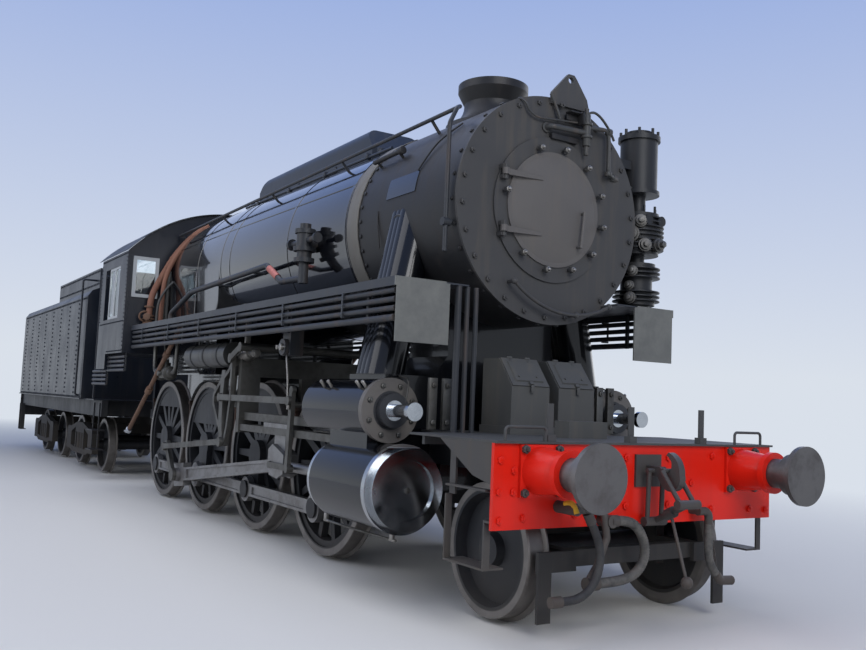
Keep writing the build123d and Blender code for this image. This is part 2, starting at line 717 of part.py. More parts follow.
# Front plate with the ring that the door shuts against, clamp dogs, hinge lugs and hand rail
DOG_COUNT = 12
DOG_START = -9.5
DOG_CIRCLE = 462
DOG_HINGES = (5, 7)
HINGE_Z = (BOILER_Z - 205, BOILER_Z + 205)
KNUCKLE_RADIUS = 26
HINGE_PIN_RADIUS = 12
RAIL_POSTS = ((-379, 2228), (197, 2032), (521, 2124))
RAIL_FRONT_X = 7835
RING_FRONT_X = SMOKEBOX_FRONT_X + DOOR_RING_THICK
HINGE_X = RING_FRONT_X + 40
with BuildPart() as smokebox_front:
    drum((FRONT_INSIDE_X, 0, BOILER_Z), (SMOKEBOX_FRONT_X, 0, BOILER_Z), SMOKEBOX_RADIUS)
    drum((SMOKEBOX_FRONT_X, 0, BOILER_Z), (RING_FRONT_X, 0, BOILER_Z), DOOR_RING_RADIUS)
    drum((FRONT_INSIDE_X - 1, 0, BOILER_Z), (RING_FRONT_X + 1, 0, BOILER_Z), DOOR_HOLE_RADIUS, Mode.SUBTRACT)
    with BuildSketch(Plane.YZ.offset(SMOKEBOX_FRONT_X)):
        with BuildLine():
            Polyline(*[(LUG_Y + across, BOILER_Z + up) for across, up in LUG_OUTLINE], close=True)
        make_face()
        with Locations((LUG_Y - 5, BOILER_Z + 1010)):
            Circle(24, mode=Mode.SUBTRACT)
    extrude(amount=LUG_THICK)
    # A dog is a stud with a nut and a claw that reaches over the door's rim
    for number in range(DOG_COUNT):
        angle = math.radians(DOG_START + number * 360 / DOG_COUNT)
        if number in DOG_HINGES:
            continue
        stud = (DOG_CIRCLE * math.cos(angle), BOILER_Z + DOG_CIRCLE * math.sin(angle))
        drum((RING_FRONT_X, *stud), (RING_FRONT_X + 62, *stud), 13)
        drum((RING_FRONT_X + 36, *stud), (RING_FRONT_X + 56, *stud), 24)
        inner = ((DOOR_RADIUS + 6) * math.cos(angle), BOILER_Z + (DOOR_RADIUS + 6) * math.sin(angle))
        outer = ((DOG_CIRCLE + 22) * math.cos(angle), BOILER_Z + (DOG_CIRCLE + 22) * math.sin(angle))
        drum((RING_FRONT_X + 34, *inner), (RING_FRONT_X + 34, *outer), 14)
    # Hinge lugs either side of each knuckle of the door, and the pin through them
    for hinge in HINGE_Z:
        for end in (-1, 1):
            low = hinge + end * 38 - 14
            block((SMOKEBOX_FRONT_X + 1, HINGE_X), (DOOR_PIN_Y - 24, DOOR_PIN_Y + 24), (low, low + 28))
        drum((HINGE_X, DOOR_PIN_Y, hinge - 56), (HINGE_X, DOOR_PIN_Y, hinge + 56), HINGE_PIN_RADIUS)
    rail = [(RAIL_FRONT_X, *post) for post in RAIL_POSTS]
    with BuildLine() as curve:
        ThreePointArc(*rail)
    with BuildSketch(Plane(origin=rail[0], z_dir=curve.wires()[0].tangent_at(0))):
        Circle(13)
    sweep(path=curve.wires()[0])
    for post in rail:
        drum((SMOKEBOX_FRONT_X, post[1], post[2]), post, 13)
        with Locations(post):
            Sphere(24)
smokebox_front.part.label = "smokebox_front"
export_step(smokebox_front.part, "parts/smokebox_front.step")

# Round door with a raised rim and dished centre, two tapered hinge straps and a handle
STRAP_TIP_Y = -135
STRAP_THICK = 14
RIM_WIDTH = 34
RIM_RISE = 12
with BuildPart() as smokebox_door:
    door_back = RING_FRONT_X + SEAT_GAP
    door_face = door_back + DOOR_THICK
    drum((door_back, 0, BOILER_Z), (door_face - RIM_RISE, 0, BOILER_Z), DOOR_RADIUS)
    with BuildSketch(Plane.XY.offset(BOILER_Z)):
        with BuildLine():
            Line((door_face - RIM_RISE, 0), (door_face + 26, 0))
            ThreePointArc(
                (door_face + 26, 0),
                (door_face + 17, DOOR_RADIUS / 2),
                (door_face - RIM_RISE, DOOR_RADIUS - RIM_WIDTH),
            )
            Line((door_face - RIM_RISE, DOOR_RADIUS - RIM_WIDTH), (door_face - RIM_RISE, 0))
        make_face()
    revolve(axis=Axis((0, 0, BOILER_Z), (1, 0, 0)))
    for hinge in HINGE_Z:
        drum((HINGE_X, DOOR_PIN_Y, hinge - 23), (HINGE_X, DOOR_PIN_Y, hinge + 23), KNUCKLE_RADIUS)
        with BuildSketch(Plane.YZ.offset(HINGE_X - 8)):
            with BuildLine():
                Polyline(
                    (DOOR_PIN_Y, hinge - 23),
                    (STRAP_TIP_Y, hinge - 12),
                    (STRAP_TIP_Y, hinge + 12),
                    (DOOR_PIN_Y, hinge + 23),
                    close=True,
                )
            make_face()
        extrude(amount=STRAP_THICK)
        drum(
            (HINGE_X, DOOR_PIN_Y, hinge - 24),
            (HINGE_X, DOOR_PIN_Y, hinge + 24),
            HINGE_PIN_RADIUS + RUNNING_GAP,
            Mode.SUBTRACT,
        )
    drum((door_face + 5, 245, BOILER_Z), (door_face + 48, 245, BOILER_Z), 11)
    drum((door_face + 5, 219, 2543), (door_face + 48, 219, 2543), 11)
    drum((door_face + 44, 245, BOILER_Z + 8), (door_face + 44, 219, 2535), 12)
smokebox_door.part.label = "smokebox_door"
export_step(smokebox_door.part, "parts/smokebox_door.step")

# Chimney, flared onto the smokebox
with BuildPart() as chimney:
    with BuildSketch(Plane.XZ):
        with BuildLine():
            Polyline(
                (CHIMNEY_X + CHIMNEY_BORE, 3500),
                (CHIMNEY_X + 400, 3500),
                (CHIMNEY_X + 380, 3600),
            )
            ThreePointArc(
                (CHIMNEY_X + 380, 3600),
                (CHIMNEY_X + 270, 3670),
                (CHIMNEY_X + 235, 3790),
            )
            Polyline(
                (CHIMNEY_X + 235, 3790),
                (CHIMNEY_X + 288, 3890),
                (CHIMNEY_X + 288, 3950),
                (CHIMNEY_X + 230, 3950),
                (CHIMNEY_X + CHIMNEY_BORE, 3900),
                (CHIMNEY_X + CHIMNEY_BORE, 3500),
            )
        make_face()
    revolve(axis=Axis((CHIMNEY_X, 0, 0), (0, 0, 1)))
    add(BOILER_SEAT, mode=Mode.SUBTRACT)
chimney.part.label = "chimney"
export_step(chimney.part, "parts/chimney.step")

# Clothed boiler barrel
with BuildPart() as boiler_barrel:
    with BuildSketch(Plane.XY.offset(BOILER_Z)):
        with BuildLine():
            Polyline(
                (FIREBOX_FRONT_X, 0),
                (SMOKEBOX_BACK_X, 0),
                (SMOKEBOX_BACK_X, BARREL_FRONT_RADIUS),
                (FIREBOX_FRONT_X, BARREL_BACK_RADIUS),
                close=True,
            )
        make_face()
    revolve(axis=Axis((0, 0, BOILER_Z), (1, 0, 0)))
boiler_barrel.part.label = "boiler_barrel"
export_step(boiler_barrel.part, "parts/boiler_barrel.step")


def firebox_outline(grow):
    """The firebox across the engine: a round crown on sides that draw in to the foot."""
    crown = BARREL_BACK_RADIUS + grow
    foot = FIREBOX_FOOT_HALF + grow
    with BuildSketch() as outline:
        with BuildLine():
            ThreePointArc((-crown, BOILER_Z), (0, BOILER_Z + crown), (crown, BOILER_Z))
            Polyline(
                (crown, BOILER_Z),
                (foot, FIREBOX_BOTTOM - grow),
                (-foot, FIREBOX_BOTTOM - grow),
                (-crown, BOILER_Z),
            )
        make_face()
    return outline.sketch


FIREBOX_FACE = firebox_outline(0)

# Firebox, with the ash pan under it between the frames
with BuildPart() as firebox:
    with BuildSketch(Plane.YZ.offset(FIREBOX_BACK_X)):
        add(FIREBOX_FACE)
    extrude(amount=FIREBOX_FRONT_X - FIREBOX_BACK_X)
    block((FIREBOX_BACK_X, FIREBOX_FRONT_X - 60), (-515, 515), (1110, FIREBOX_BOTTOM))
    block((1330, 1880), (-500, 500), (600, 1110))
    block((1940, 2510), (-500, 500), (600, 1110))
firebox.part.label = "firebox"
export_step(firebox.part, "parts/firebox.step")

# Long casing over dome and sand box
CASING_BACK_X = 2600
CASING_FRONT_X = 5450
CASING_TOP = 3950
with BuildPart() as dome_casing:
    with BuildSketch(Plane.XZ.offset(-300)):
        with BuildLine():
            Polyline(
                (CASING_BACK_X, 3500),
                (CASING_FRONT_X, 3500),
                (CASING_FRONT_X, 3740),
                (CASING_FRONT_X - 150, CASING_TOP),
                (CASING_BACK_X + 200, CASING_TOP),
                (CASING_BACK_X, 3780),
                close=True,
            )
        make_face()
    extrude(amount=600)
    fillet(dome_casing.edges().filter_by(Axis.X).group_by(Axis.Z)[-1], 120)
    add(BOILER_SEAT, mode=Mode.SUBTRACT)
dome_casing.part.label = "dome_casing"
export_step(dome_casing.part, "parts/dome_casing.step")

# Running boards with turned down edges, front aprons and brackets from the boiler
BOARD_BRACKET_X = (3300, 4700, 5900)
APRON_INSIDE = 870
APRON_BOTTOM = 1740
with BuildPart() as running_boards:
    block((CAB_FRONT_X, BOARD_FRONT_X), (-BOARD_EDGE, -900), (BOARD_BOTTOM, BOARD_TOP))
    block((FIREBOX_FRONT_X + 20, BOARD_FRONT_X - 20), (-901, -700), (BOARD_BOTTOM, BOARD_TOP))
    block(
        (CAB_FRONT_X, BOARD_FRONT_X),
        (-BOARD_EDGE, -BOARD_EDGE + 12),
        (BOARD_TOP - BOARD_LIP, BOARD_BOTTOM),
    )
    block(
        (BOARD_FRONT_X - 12, BOARD_FRONT_X),
        (-BOARD_EDGE + 12, -APRON_INSIDE),
        (APRON_BOTTOM, BOARD_BOTTOM),
    )
    for bracket in BOARD_BRACKET_X:
        block((bracket - 10, bracket + 10), (-1180, -400), (2060, BOARD_BOTTOM))
    add(BOILER_SEAT, mode=Mode.SUBTRACT)
    mirror(about=Plane.XZ)
running_boards.part.label = "running_boards"
export_step(running_boards.part, "parts/running_boards.step")

# Pipes under the edge of the boards with their hangers, pipes down the front, stacks under the cab
EDGE_PIPES = ((1275, 2082, 20), (1275, 2022, 20), (1275, 1962, 20), (1278, 1898, 24))
PIPE_HANGER_X = (1500, 3000, 4500, 5900, 7300)
FRONT_PIPES = ((770, 24), (695, 18), (620, 18))
FRONT_PIPE_X = 7715
STACK_PIPE_RADIUS = 20
STACK_Y = 1340
STACKS = (
    # back, front, bottom and top pipe
    (-30, 905, 1600, 1774),
    (-900, -60, 1415, 1590),
)
STACK_PIPES = 4
with BuildPart() as pipework:
    for side in (-1, 1):
        for across, level, radius in EDGE_PIPES:
            drum((CAB_FRONT_X + 60, side * across, level), (BOARD_FRONT_X - 30, side * across, level), radius)
        for hanger in PIPE_HANGER_X:
            block((hanger - 15, hanger + 15), (side * 1235, side * 1256), (1870, BOARD_BOTTOM))
        for back, front, bottom, upper in STACKS:
            step = (upper - bottom) / (STACK_PIPES - 1)
            for number in range(STACK_PIPES):
                level = bottom + number * step
                drum((back, side * STACK_Y, level), (front, side * STACK_Y, level), STACK_PIPE_RADIUS)
            for hanger in (max(back, CAB_BACK_X) + 60, front - 60):
                block(
                    (hanger - 12, hanger + 12),
                    (side * (STACK_Y - 30), side * (STACK_Y - 18)),
                    (bottom, CAB_BOTTOM),
                )
    for across, radius in FRONT_PIPES:
        drum((FRONT_PIPE_X, -across, DECK_TOP), (FRONT_PIPE_X, -across, BOARD_BOTTOM), radius)
pipework.part.label = "pipework"
export_step(pipework.part, "parts/pipework.step")

# Air reservoirs hung under the boards
RESERVOIR_X = (3080, 4340)
RESERVOIR_Y = 1120
RESERVOIR_Z = 1735
RESERVOIR_RADIUS = 125
with BuildPart() as air_reservoirs:
    for side in (-1, 1):
        centre = side * RESERVOIR_Y
        drum((RESERVOIR_X[0], centre, RESERVOIR_Z), (RESERVOIR_X[1], centre, RESERVOIR_Z), RESERVOIR_RADIUS)
        for hanger in (RESERVOIR_X[0] + 140, RESERVOIR_X[1] - 140):
            block((hanger - 20, hanger + 20), (centre - 6, centre + 6), (RESERVOIR_Z, BOARD_BOTTOM))
air_reservoirs.part.label = "air_reservoirs"
export_step(air_reservoirs.part, "parts/air_reservoirs.step")

# Steam driven air pump on the left hand board, beside the smokebox front
PUMP_X = 7560
PUMP_Y = 1075
PUMP_STAGES = (
    # bottom, top and radius of each stage
    (2172, 2200, 110),
    (2200, 2240, 150),
    (2240, 2500, 128),
    (2500, 2540, 150),
    (2540, 2610, 62),
    (2610, 2640, 172),
    (2640, 2920, 142),
    (2920, 2950, 172),
    (2950, 3110, 62),
    (3110, 3140, 172),
    (3140, 3560, 152),
    (3560, 3600, 172),
    (3600, 3640, 110),
)
PUMP_FINS = 7
FIN_FOOT = 2662
FIN_PITCH = 36
FIN_THICK = 10
FIN_RADIUS = 168
PUMP_STUDS = 8
STUD_CIRCLE = 150
with BuildPart() as air_pump:
    for low, high, radius in PUMP_STAGES:
        drum((PUMP_X, PUMP_Y, low), (PUMP_X, PUMP_Y, high), radius)
    for number in range(PUMP_FINS):
        level = FIN_FOOT + number * FIN_PITCH
        drum((PUMP_X, PUMP_Y, level), (PUMP_X, PUMP_Y, level + FIN_THICK), FIN_RADIUS)
    for number in range(PUMP_STUDS):
        angle = 2 * math.pi * number / PUMP_STUDS
        stud = (PUMP_X + STUD_CIRCLE * math.cos(angle), PUMP_Y + STUD_CIRCLE * math.sin(angle))
        drum((*stud, 3600), (*stud, 3650), 12)
    for low in (2660, 3300):
        block((PUMP_X - 60, PUMP_X + 60), (600, PUMP_Y - 100), (low, low + 70))
    # Valve chambers on the ribbed stage's outer side
    for across in (-70, 70):
        drum((PUMP_X + 60, PUMP_Y + across, 2880), (PUMP_X + 205, PUMP_Y + across, 2880), 42)
        drum((PUMP_X + 60, PUMP_Y + across, 2690), (PUMP_X + 205, PUMP_Y + across, 2690), 36)
    add(BOILER_SEAT, mode=Mode.SUBTRACT)
air_pump.part.label = "air_pump"
export_step(air_pump.part, "parts/air_pump.step")

# Two tool boxes on a plinth, with sloping lids hinged at their upper edge
TOOLBOX_FRONT_X = 7850
TOOLBOX_BACK_X = 7500
TOOLBOX_WIDTH = 340
TOOLBOX_MIDDLE_Y = 213
TOOLBOX_BASE = 1205
TOOLBOX_FRONT_TOP = 1485
TOOLBOX_TOP = 1685
TOOLBOX_CREST_X = 7690
TOOLBOX_WALL = 5
PLINTH_HALF = 400
LID_THICK = 10
LID_MARGIN = 30
STEP_BOX_X = (8150, 8300)
STEP_BOX_Y = (-240, 100)
STEP_BOX_TOP = 1263
LID_SLOPE = math.atan2(TOOLBOX_TOP - TOOLBOX_FRONT_TOP, TOOLBOX_FRONT_X - TOOLBOX_CREST_X)
LID_LENGTH = math.hypot(TOOLBOX_TOP - TOOLBOX_FRONT_TOP, TOOLBOX_FRONT_X - TOOLBOX_CREST_X)
with BuildPart() as toolboxes:
    block(
        (TOOLBOX_BACK_X, TOOLBOX_FRONT_X + 20),
        (-PLINTH_HALF, PLINTH_HALF),
        (DECK_TOP, TOOLBOX_BASE - SEAT_GAP),
    )
    for side in (-1, 1):
        near = side * TOOLBOX_MIDDLE_Y + TOOLBOX_WIDTH / 2
        with BuildSketch(Plane.XZ.offset(-near)):
            with BuildLine():
                Polyline(
                    (TOOLBOX_BACK_X, TOOLBOX_BASE),
                    (TOOLBOX_FRONT_X, TOOLBOX_BASE),
                    (TOOLBOX_FRONT_X, TOOLBOX_FRONT_TOP),
                    (TOOLBOX_CREST_X, TOOLBOX_TOP),
                    (TOOLBOX_BACK_X, TOOLBOX_TOP),
                    close=True,
                )
            make_face()
        extrude(amount=TOOLBOX_WIDTH)
        with BuildSketch(Plane.XZ.offset(-near + TOOLBOX_WALL)):
            with BuildLine():
                Polyline(
                    (TOOLBOX_BACK_X + TOOLBOX_WALL, TOOLBOX_BASE + TOOLBOX_WALL),
                    (TOOLBOX_FRONT_X - TOOLBOX_WALL, TOOLBOX_BASE + TOOLBOX_WALL),
                    (TOOLBOX_FRONT_X - TOOLBOX_WALL, TOOLBOX_FRONT_TOP - 4),
                    (TOOLBOX_CREST_X - 3, TOOLBOX_TOP - TOOLBOX_WALL),
                    (TOOLBOX_BACK_X + TOOLBOX_WALL, TOOLBOX_TOP - TOOLBOX_WALL),
                    close=True,
                )
            make_face()
        extrude(amount=TOOLBOX_WIDTH - 2 * TOOLBOX_WALL, mode=Mode.SUBTRACT)
        slope_plane = Plane(
            origin=(
                (TOOLBOX_FRONT_X + TOOLBOX_CREST_X) / 2,
                side * TOOLBOX_MIDDLE_Y,
                (TOOLBOX_FRONT_TOP + TOOLBOX_TOP) / 2,
            ),
            x_dir=(0, 1, 0),
            z_dir=(math.sin(LID_SLOPE), 0, math.cos(LID_SLOPE)),
        )
        with BuildSketch(slope_plane):
            Rectangle(TOOLBOX_WIDTH - 2 * LID_MARGIN, LID_LENGTH - LID_MARGIN)
        extrude(amount=-30, mode=Mode.SUBTRACT)
    block(STEP_BOX_X, STEP_BOX_Y, (DECK_TOP, STEP_BOX_TOP))
toolboxes.part.label = "toolboxes"
export_step(toolboxes.part, "parts/toolboxes.step")


def toolbox_lid(side):
    """A lid lying 0.3 mm off the slope with a raised panel and a latch, its hinge along the upper edge."""
    middle = (
        (TOOLBOX_FRONT_X + TOOLBOX_CREST_X) / 2 + SEAT_GAP * math.sin(LID_SLOPE),
        side * TOOLBOX_MIDDLE_Y,
        (TOOLBOX_FRONT_TOP + TOOLBOX_TOP) / 2 + SEAT_GAP * math.cos(LID_SLOPE),
    )
    lying = Plane(origin=middle, x_dir=(0, 1, 0), z_dir=(math.sin(LID_SLOPE), 0, math.cos(LID_SLOPE)))
    with BuildPart() as lid:
        with BuildSketch(lying):
            Rectangle(TOOLBOX_WIDTH - 12, LID_LENGTH - 6)
        extrude(amount=LID_THICK)
        with BuildSketch(lying.offset(LID_THICK)):
            Rectangle(TOOLBOX_WIDTH - 3 * LID_MARGIN, LID_LENGTH - 2.5 * LID_MARGIN)
        extrude(amount=LID_THICK, taper=30)
        with BuildSketch(lying.offset(LID_THICK)):
            with Locations((0, -LID_LENGTH / 2 + 18)):
                Rectangle(34, 24)
        extrude(amount=LID_THICK + 8)
    return lid.part
with BuildPart() as toolbox_lid_right:
    add(toolbox_lid(-1))
toolbox_lid_right.part.label = "toolbox_lid_right"
export_step(toolbox_lid_right.part, "parts/toolbox_lid_right.step")

with BuildPart() as toolbox_lid_left:
    add(toolbox_lid(1))
toolbox_lid_left.part.label = "toolbox_lid_left"
export_step(toolbox_lid_left.part, "parts/toolbox_lid_left.step")

# Wide steam pipes from the smokebox down through the boards to the cylinders
STEAM_PIPE_X = 6970
STEAM_PIPE_RADIUS = 150
STEAM_PIPE_HALF = 60
STEAM_PIPE_FOOT = (960, 1500)
STEAM_PIPE_HEAD = (700, 2790)
SADDLE_TOP = 1540
with BuildPart() as steam_pipes:
    for side in (-1, 1):
        for shift in (-STEAM_PIPE_HALF, 0, STEAM_PIPE_HALF):
            foot = (STEAM_PIPE_X + shift, side * STEAM_PIPE_FOOT[0], STEAM_PIPE_FOOT[1])
            drum(
                foot,
                (STEAM_PIPE_X + shift, side * STEAM_PIPE_HEAD[0], STEAM_PIPE_HEAD[1]),
                STEAM_PIPE_RADIUS,
            )
    block((6000, 8000), (-1400, 1400), (1300, SADDLE_TOP), Mode.SUBTRACT)
    add(BOILER_SEAT, mode=Mode.SUBTRACT)
    block((6000, 8000), (-1400, 1400), (BOARD_BOTTOM, BOARD_TOP), Mode.SUBTRACT)
steam_pipes.part.label = "steam_pipes"
export_step(steam_pipes.part, "parts/steam_pipes.step")

# Cab: front plate round the firebox, sides with sash windows, floor
CAB_FLOOR = 1840


def roof_arc(half, grow):
    """The cab roof's rounded outline, grown outward from the eaves line."""
    return ThreePointArc((-half, EAVES_Z + grow), (0, EAVES_Z + ROOF_RISE + grow), (half, EAVES_Z + grow))


with BuildPart() as cab_shell:
    with BuildSketch(Plane.YZ.offset(CAB_FRONT_X - CAB_PLATE)):
        with BuildLine():
            roof_arc(CAB_HALF, 0)
            Polyline(
                (CAB_HALF, EAVES_Z),
                (CAB_HALF, CAB_BOTTOM),
                (-CAB_HALF, CAB_BOTTOM),
                (-CAB_HALF, EAVES_Z),
            )
        make_face()
        for side in (-1, 1):
            with Locations((side * sum(FRONT_WINDOW_Y) / 2, sum(FRONT_WINDOW_Z) / 2)):
                Rectangle(
                    FRONT_WINDOW_Y[1] - FRONT_WINDOW_Y[0],
                    FRONT_WINDOW_Z[1] - FRONT_WINDOW_Z[0],
                    mode=Mode.SUBTRACT,
                )
    extrude(amount=CAB_PLATE)
    with BuildSketch(Plane.XZ.offset(CAB_HALF - CAB_PLATE)):
        with BuildLine():
            Polyline(
                (CAB_BACK_X, CAB_STEP_BOTTOM),
                (CAB_STEP_X, CAB_STEP_BOTTOM),
                (CAB_STEP_X, CAB_BOTTOM),
                (CAB_FRONT_X, CAB_BOTTOM),
                (CAB_FRONT_X, EAVES_Z),
                (CAB_BACK_X, EAVES_Z),
                close=True,
            )
        make_face()
        with Locations((sum(SIDE_WINDOW_X) / 2, sum(SIDE_WINDOW_Z) / 2)):
            Rectangle(
                SIDE_WINDOW_X[1] - SIDE_WINDOW_X[0],
                SIDE_WINDOW_Z[1] - SIDE_WINDOW_Z[0],
                mode=Mode.SUBTRACT,
            )
    extrude(amount=CAB_PLATE)
    mirror(about=Plane.XZ)
    block((CAB_BACK_X, CAB_FRONT_X), (-CAB_HALF + 1, CAB_HALF - 1), (CAB_BOTTOM, CAB_FLOOR))
    for side in (-1, 1):
        block((FRAME_REAR_X + 20, FRAME_REAR_X + 120), (side * 560, side * 620), (FRAME_TOP, CAB_BOTTOM))
cab_shell.part.label = "cab_shell"
export_step(cab_shell.part, "parts/cab_shell.step")

# Arched cab roof
with BuildPart() as cab_roof:
    with BuildSketch(Plane.YZ.offset(CAB_BACK_X - 150)):
        with BuildLine():
            roof_arc(CAB_HALF + ROOF_OVERHANG, SEAT_GAP)
            Line(
                (CAB_HALF + ROOF_OVERHANG, EAVES_Z + SEAT_GAP),
                (CAB_HALF + ROOF_OVERHANG, EAVES_Z + SEAT_GAP + ROOF_PLATE),
            )
            roof_arc(CAB_HALF + ROOF_OVERHANG, SEAT_GAP + ROOF_PLATE)
            Line(
                (-CAB_HALF - ROOF_OVERHANG, EAVES_Z + SEAT_GAP + ROOF_PLATE),
                (-CAB_HALF - ROOF_OVERHANG, EAVES_Z + SEAT_GAP),
            )
        make_face()
    extrude(amount=CAB_FRONT_X + 60 - (CAB_BACK_X - 150))
cab_roof.part.label = "cab_roof"
export_step(cab_roof.part, "parts/cab_roof.step")

# Window frames and sashes, standing in the cab's openings
FRAME_BAR = 34
with BuildPart() as cab_windows:
    with BuildSketch(Plane.YZ.offset(CAB_FRONT_X)):
        with Locations((-sum(FRONT_WINDOW_Y) / 2, sum(FRONT_WINDOW_Z) / 2)):
            Rectangle(FRONT_WINDOW_Y[1] - FRONT_WINDOW_Y[0] + 20, FRONT_WINDOW_Z[1] - FRONT_WINDOW_Z[0] + 20)
            Rectangle(
                FRONT_WINDOW_Y[1] - FRONT_WINDOW_Y[0] - 2 * FRAME_BAR,
                FRONT_WINDOW_Z[1] - FRONT_WINDOW_Z[0] - 2 * FRAME_BAR,
                mode=Mode.SUBTRACT,
            )
    extrude(amount=16)
    sash_width = (SIDE_WINDOW_X[1] - SIDE_WINDOW_X[0]) / 3 + 30
    with BuildSketch(Plane.XZ.offset(CAB_HALF - CAB_PLATE - 22)):
        for middle in (SIDE_WINDOW_X[1] - sash_width / 2, SIDE_WINDOW_X[1] - 1.5 * sash_width + 10):
            with Locations((middle, sum(SIDE_WINDOW_Z) / 2)):
                Rectangle(sash_width, SIDE_WINDOW_Z[1] - SIDE_WINDOW_Z[0] + 30)
                Rectangle(
                    sash_width - 2 * FRAME_BAR,
                    SIDE_WINDOW_Z[1] - SIDE_WINDOW_Z[0] - 2 * FRAME_BAR,
                    mode=Mode.SUBTRACT,
                )
    extrude(amount=22)
    mirror(about=Plane.XZ)
cab_windows.part.label = "cab_windows"
export_step(cab_windows.part, "parts/cab_windows.step")

GLASS_THICK = 5
with BuildPart() as cab_glazing:
    with BuildSketch(Plane.YZ.offset(CAB_FRONT_X + 5)):
        with Locations((-sum(FRONT_WINDOW_Y) / 2, sum(FRONT_WINDOW_Z) / 2)):
            Rectangle(
                FRONT_WINDOW_Y[1] - FRONT_WINDOW_Y[0] - 2 * FRAME_BAR - 2 * SEAT_GAP,
                FRONT_WINDOW_Z[1] - FRONT_WINDOW_Z[0] - 2 * FRAME_BAR - 2 * SEAT_GAP,
            )
    extrude(amount=GLASS_THICK)
    with BuildSketch(Plane.XZ.offset(CAB_HALF - CAB_PLATE - 14)):
        for middle in (SIDE_WINDOW_X[1] - sash_width / 2, SIDE_WINDOW_X[1] - 1.5 * sash_width + 10):
            with Locations((middle, sum(SIDE_WINDOW_Z) / 2)):
                Rectangle(
                    sash_width - 2 * FRAME_BAR - 2 * SEAT_GAP,
                    SIDE_WINDOW_Z[1] - SIDE_WINDOW_Z[0] - 2 * FRAME_BAR - 2 * SEAT_GAP,
                )
    extrude(amount=GLASS_THICK)
    mirror(about=Plane.XZ)
cab_glazing.part.label = "cab_glazing"
export_step(cab_glazing.part, "parts/cab_glazing.step")

# Back of the boiler inside the cab, with its fire door, gauges and two seats
BACKHEAD_X = 480
with BuildPart() as cab_fittings:
    with BuildSketch(Plane.YZ.offset(BACKHEAD_X)):
        with BuildLine():
            ThreePointArc((-780, 2780), (0, 3560), (780, 2780))
            Polyline((780, 2780), (760, CAB_FLOOR), (-760, CAB_FLOOR), (-780, 2780))
        make_face()
    extrude(amount=CAB_FRONT_X - CAB_PLATE - BACKHEAD_X)
    drum((BACKHEAD_X - 30, 0, 2200), (BACKHEAD_X, 0, 2200), 220)
    for side in (-1, 1):
        drum((BACKHEAD_X - 60, side * 420, 2750), (BACKHEAD_X, side * 420, 2750), 70)
        block((-280, 120), (side * 900, side * 1300), (2330, 2400))
        block((-120, -60), (side * 1080, side * 1140), (CAB_FLOOR, 2330))
cab_fittings.part.label = "cab_fittings"
export_step(cab_fittings.part, "parts/cab_fittings.step")

# Slide bars carried between the valve chests and a motion bracket across the frames
BAR_BACK_X = 4640
BAR_FRONT_X = 6620
TOP_BAR_Z = (1110, 1180)
LOW_BAR_Z = (1010, 1070)
TOP_BAR_Y = (1010, 1110)
INNER_BAR_Y = (975, 1030)
OUTER_BAR_Y = (1090, 1145)
BRACKET_X = (4570, 4640)
GUIDE_FRONT_X = CHEST_BACK_X - 40
with BuildPart() as slide_bars:
    block(BRACKET_X, (-FRAME_INSIDE, FRAME_INSIDE), (960, 1700))
    block(BRACKET_X, (-1160, 1160), (1520, 1700))
    for side in (-1, 1):
        block(BRACKET_X, (side * 965, side * 1160), (990, 1700))
        for bar_y, bar_z in ((TOP_BAR_Y, TOP_BAR_Z), (INNER_BAR_Y, LOW_BAR_Z), (OUTER_BAR_Y, LOW_BAR_Z)):
            block((BAR_BACK_X, BAR_FRONT_X), (side * bar_y[0], side * bar_y[1]), bar_z)
        chest = CHEST_RADIUS + 1
        drum(
            (CHEST_BACK_X - 41, side * CYLINDER_Y, CHEST_Z),
            (6700, side * CYLINDER_Y, CHEST_Z),
            chest,
            Mode.SUBTRACT,
        )
        block((6600, COVER_BACK_X), (side * 985, side * 1135), (LOW_BAR_Z[0], 1056))
slide_bars.part.label = "slide_bars"
export_step(slide_bars.part, "parts/slide_bars.step")

# Where each side's crank puts its crosshead: right crank down, left crank forward
CRANK_Z = AXLE_Z - CRANK_RADIUS
RIGHT_CROSSHEAD_X = MAIN_X + math.sqrt(ROD_LENGTH ** 2 - CRANK_RADIUS ** 2)
LEFT_CROSSHEAD_X = MAIN_X + CRANK_RADIUS + ROD_LENGTH
WRIST_PIN_RADIUS = 45
SIDES = (
    # side, crosshead, big end X and Z
    (-1, RIGHT_CROSSHEAD_X, MAIN_X, CRANK_Z),
    (1, LEFT_CROSSHEAD_X, MAIN_X + CRANK_RADIUS, AXLE_Z),
)

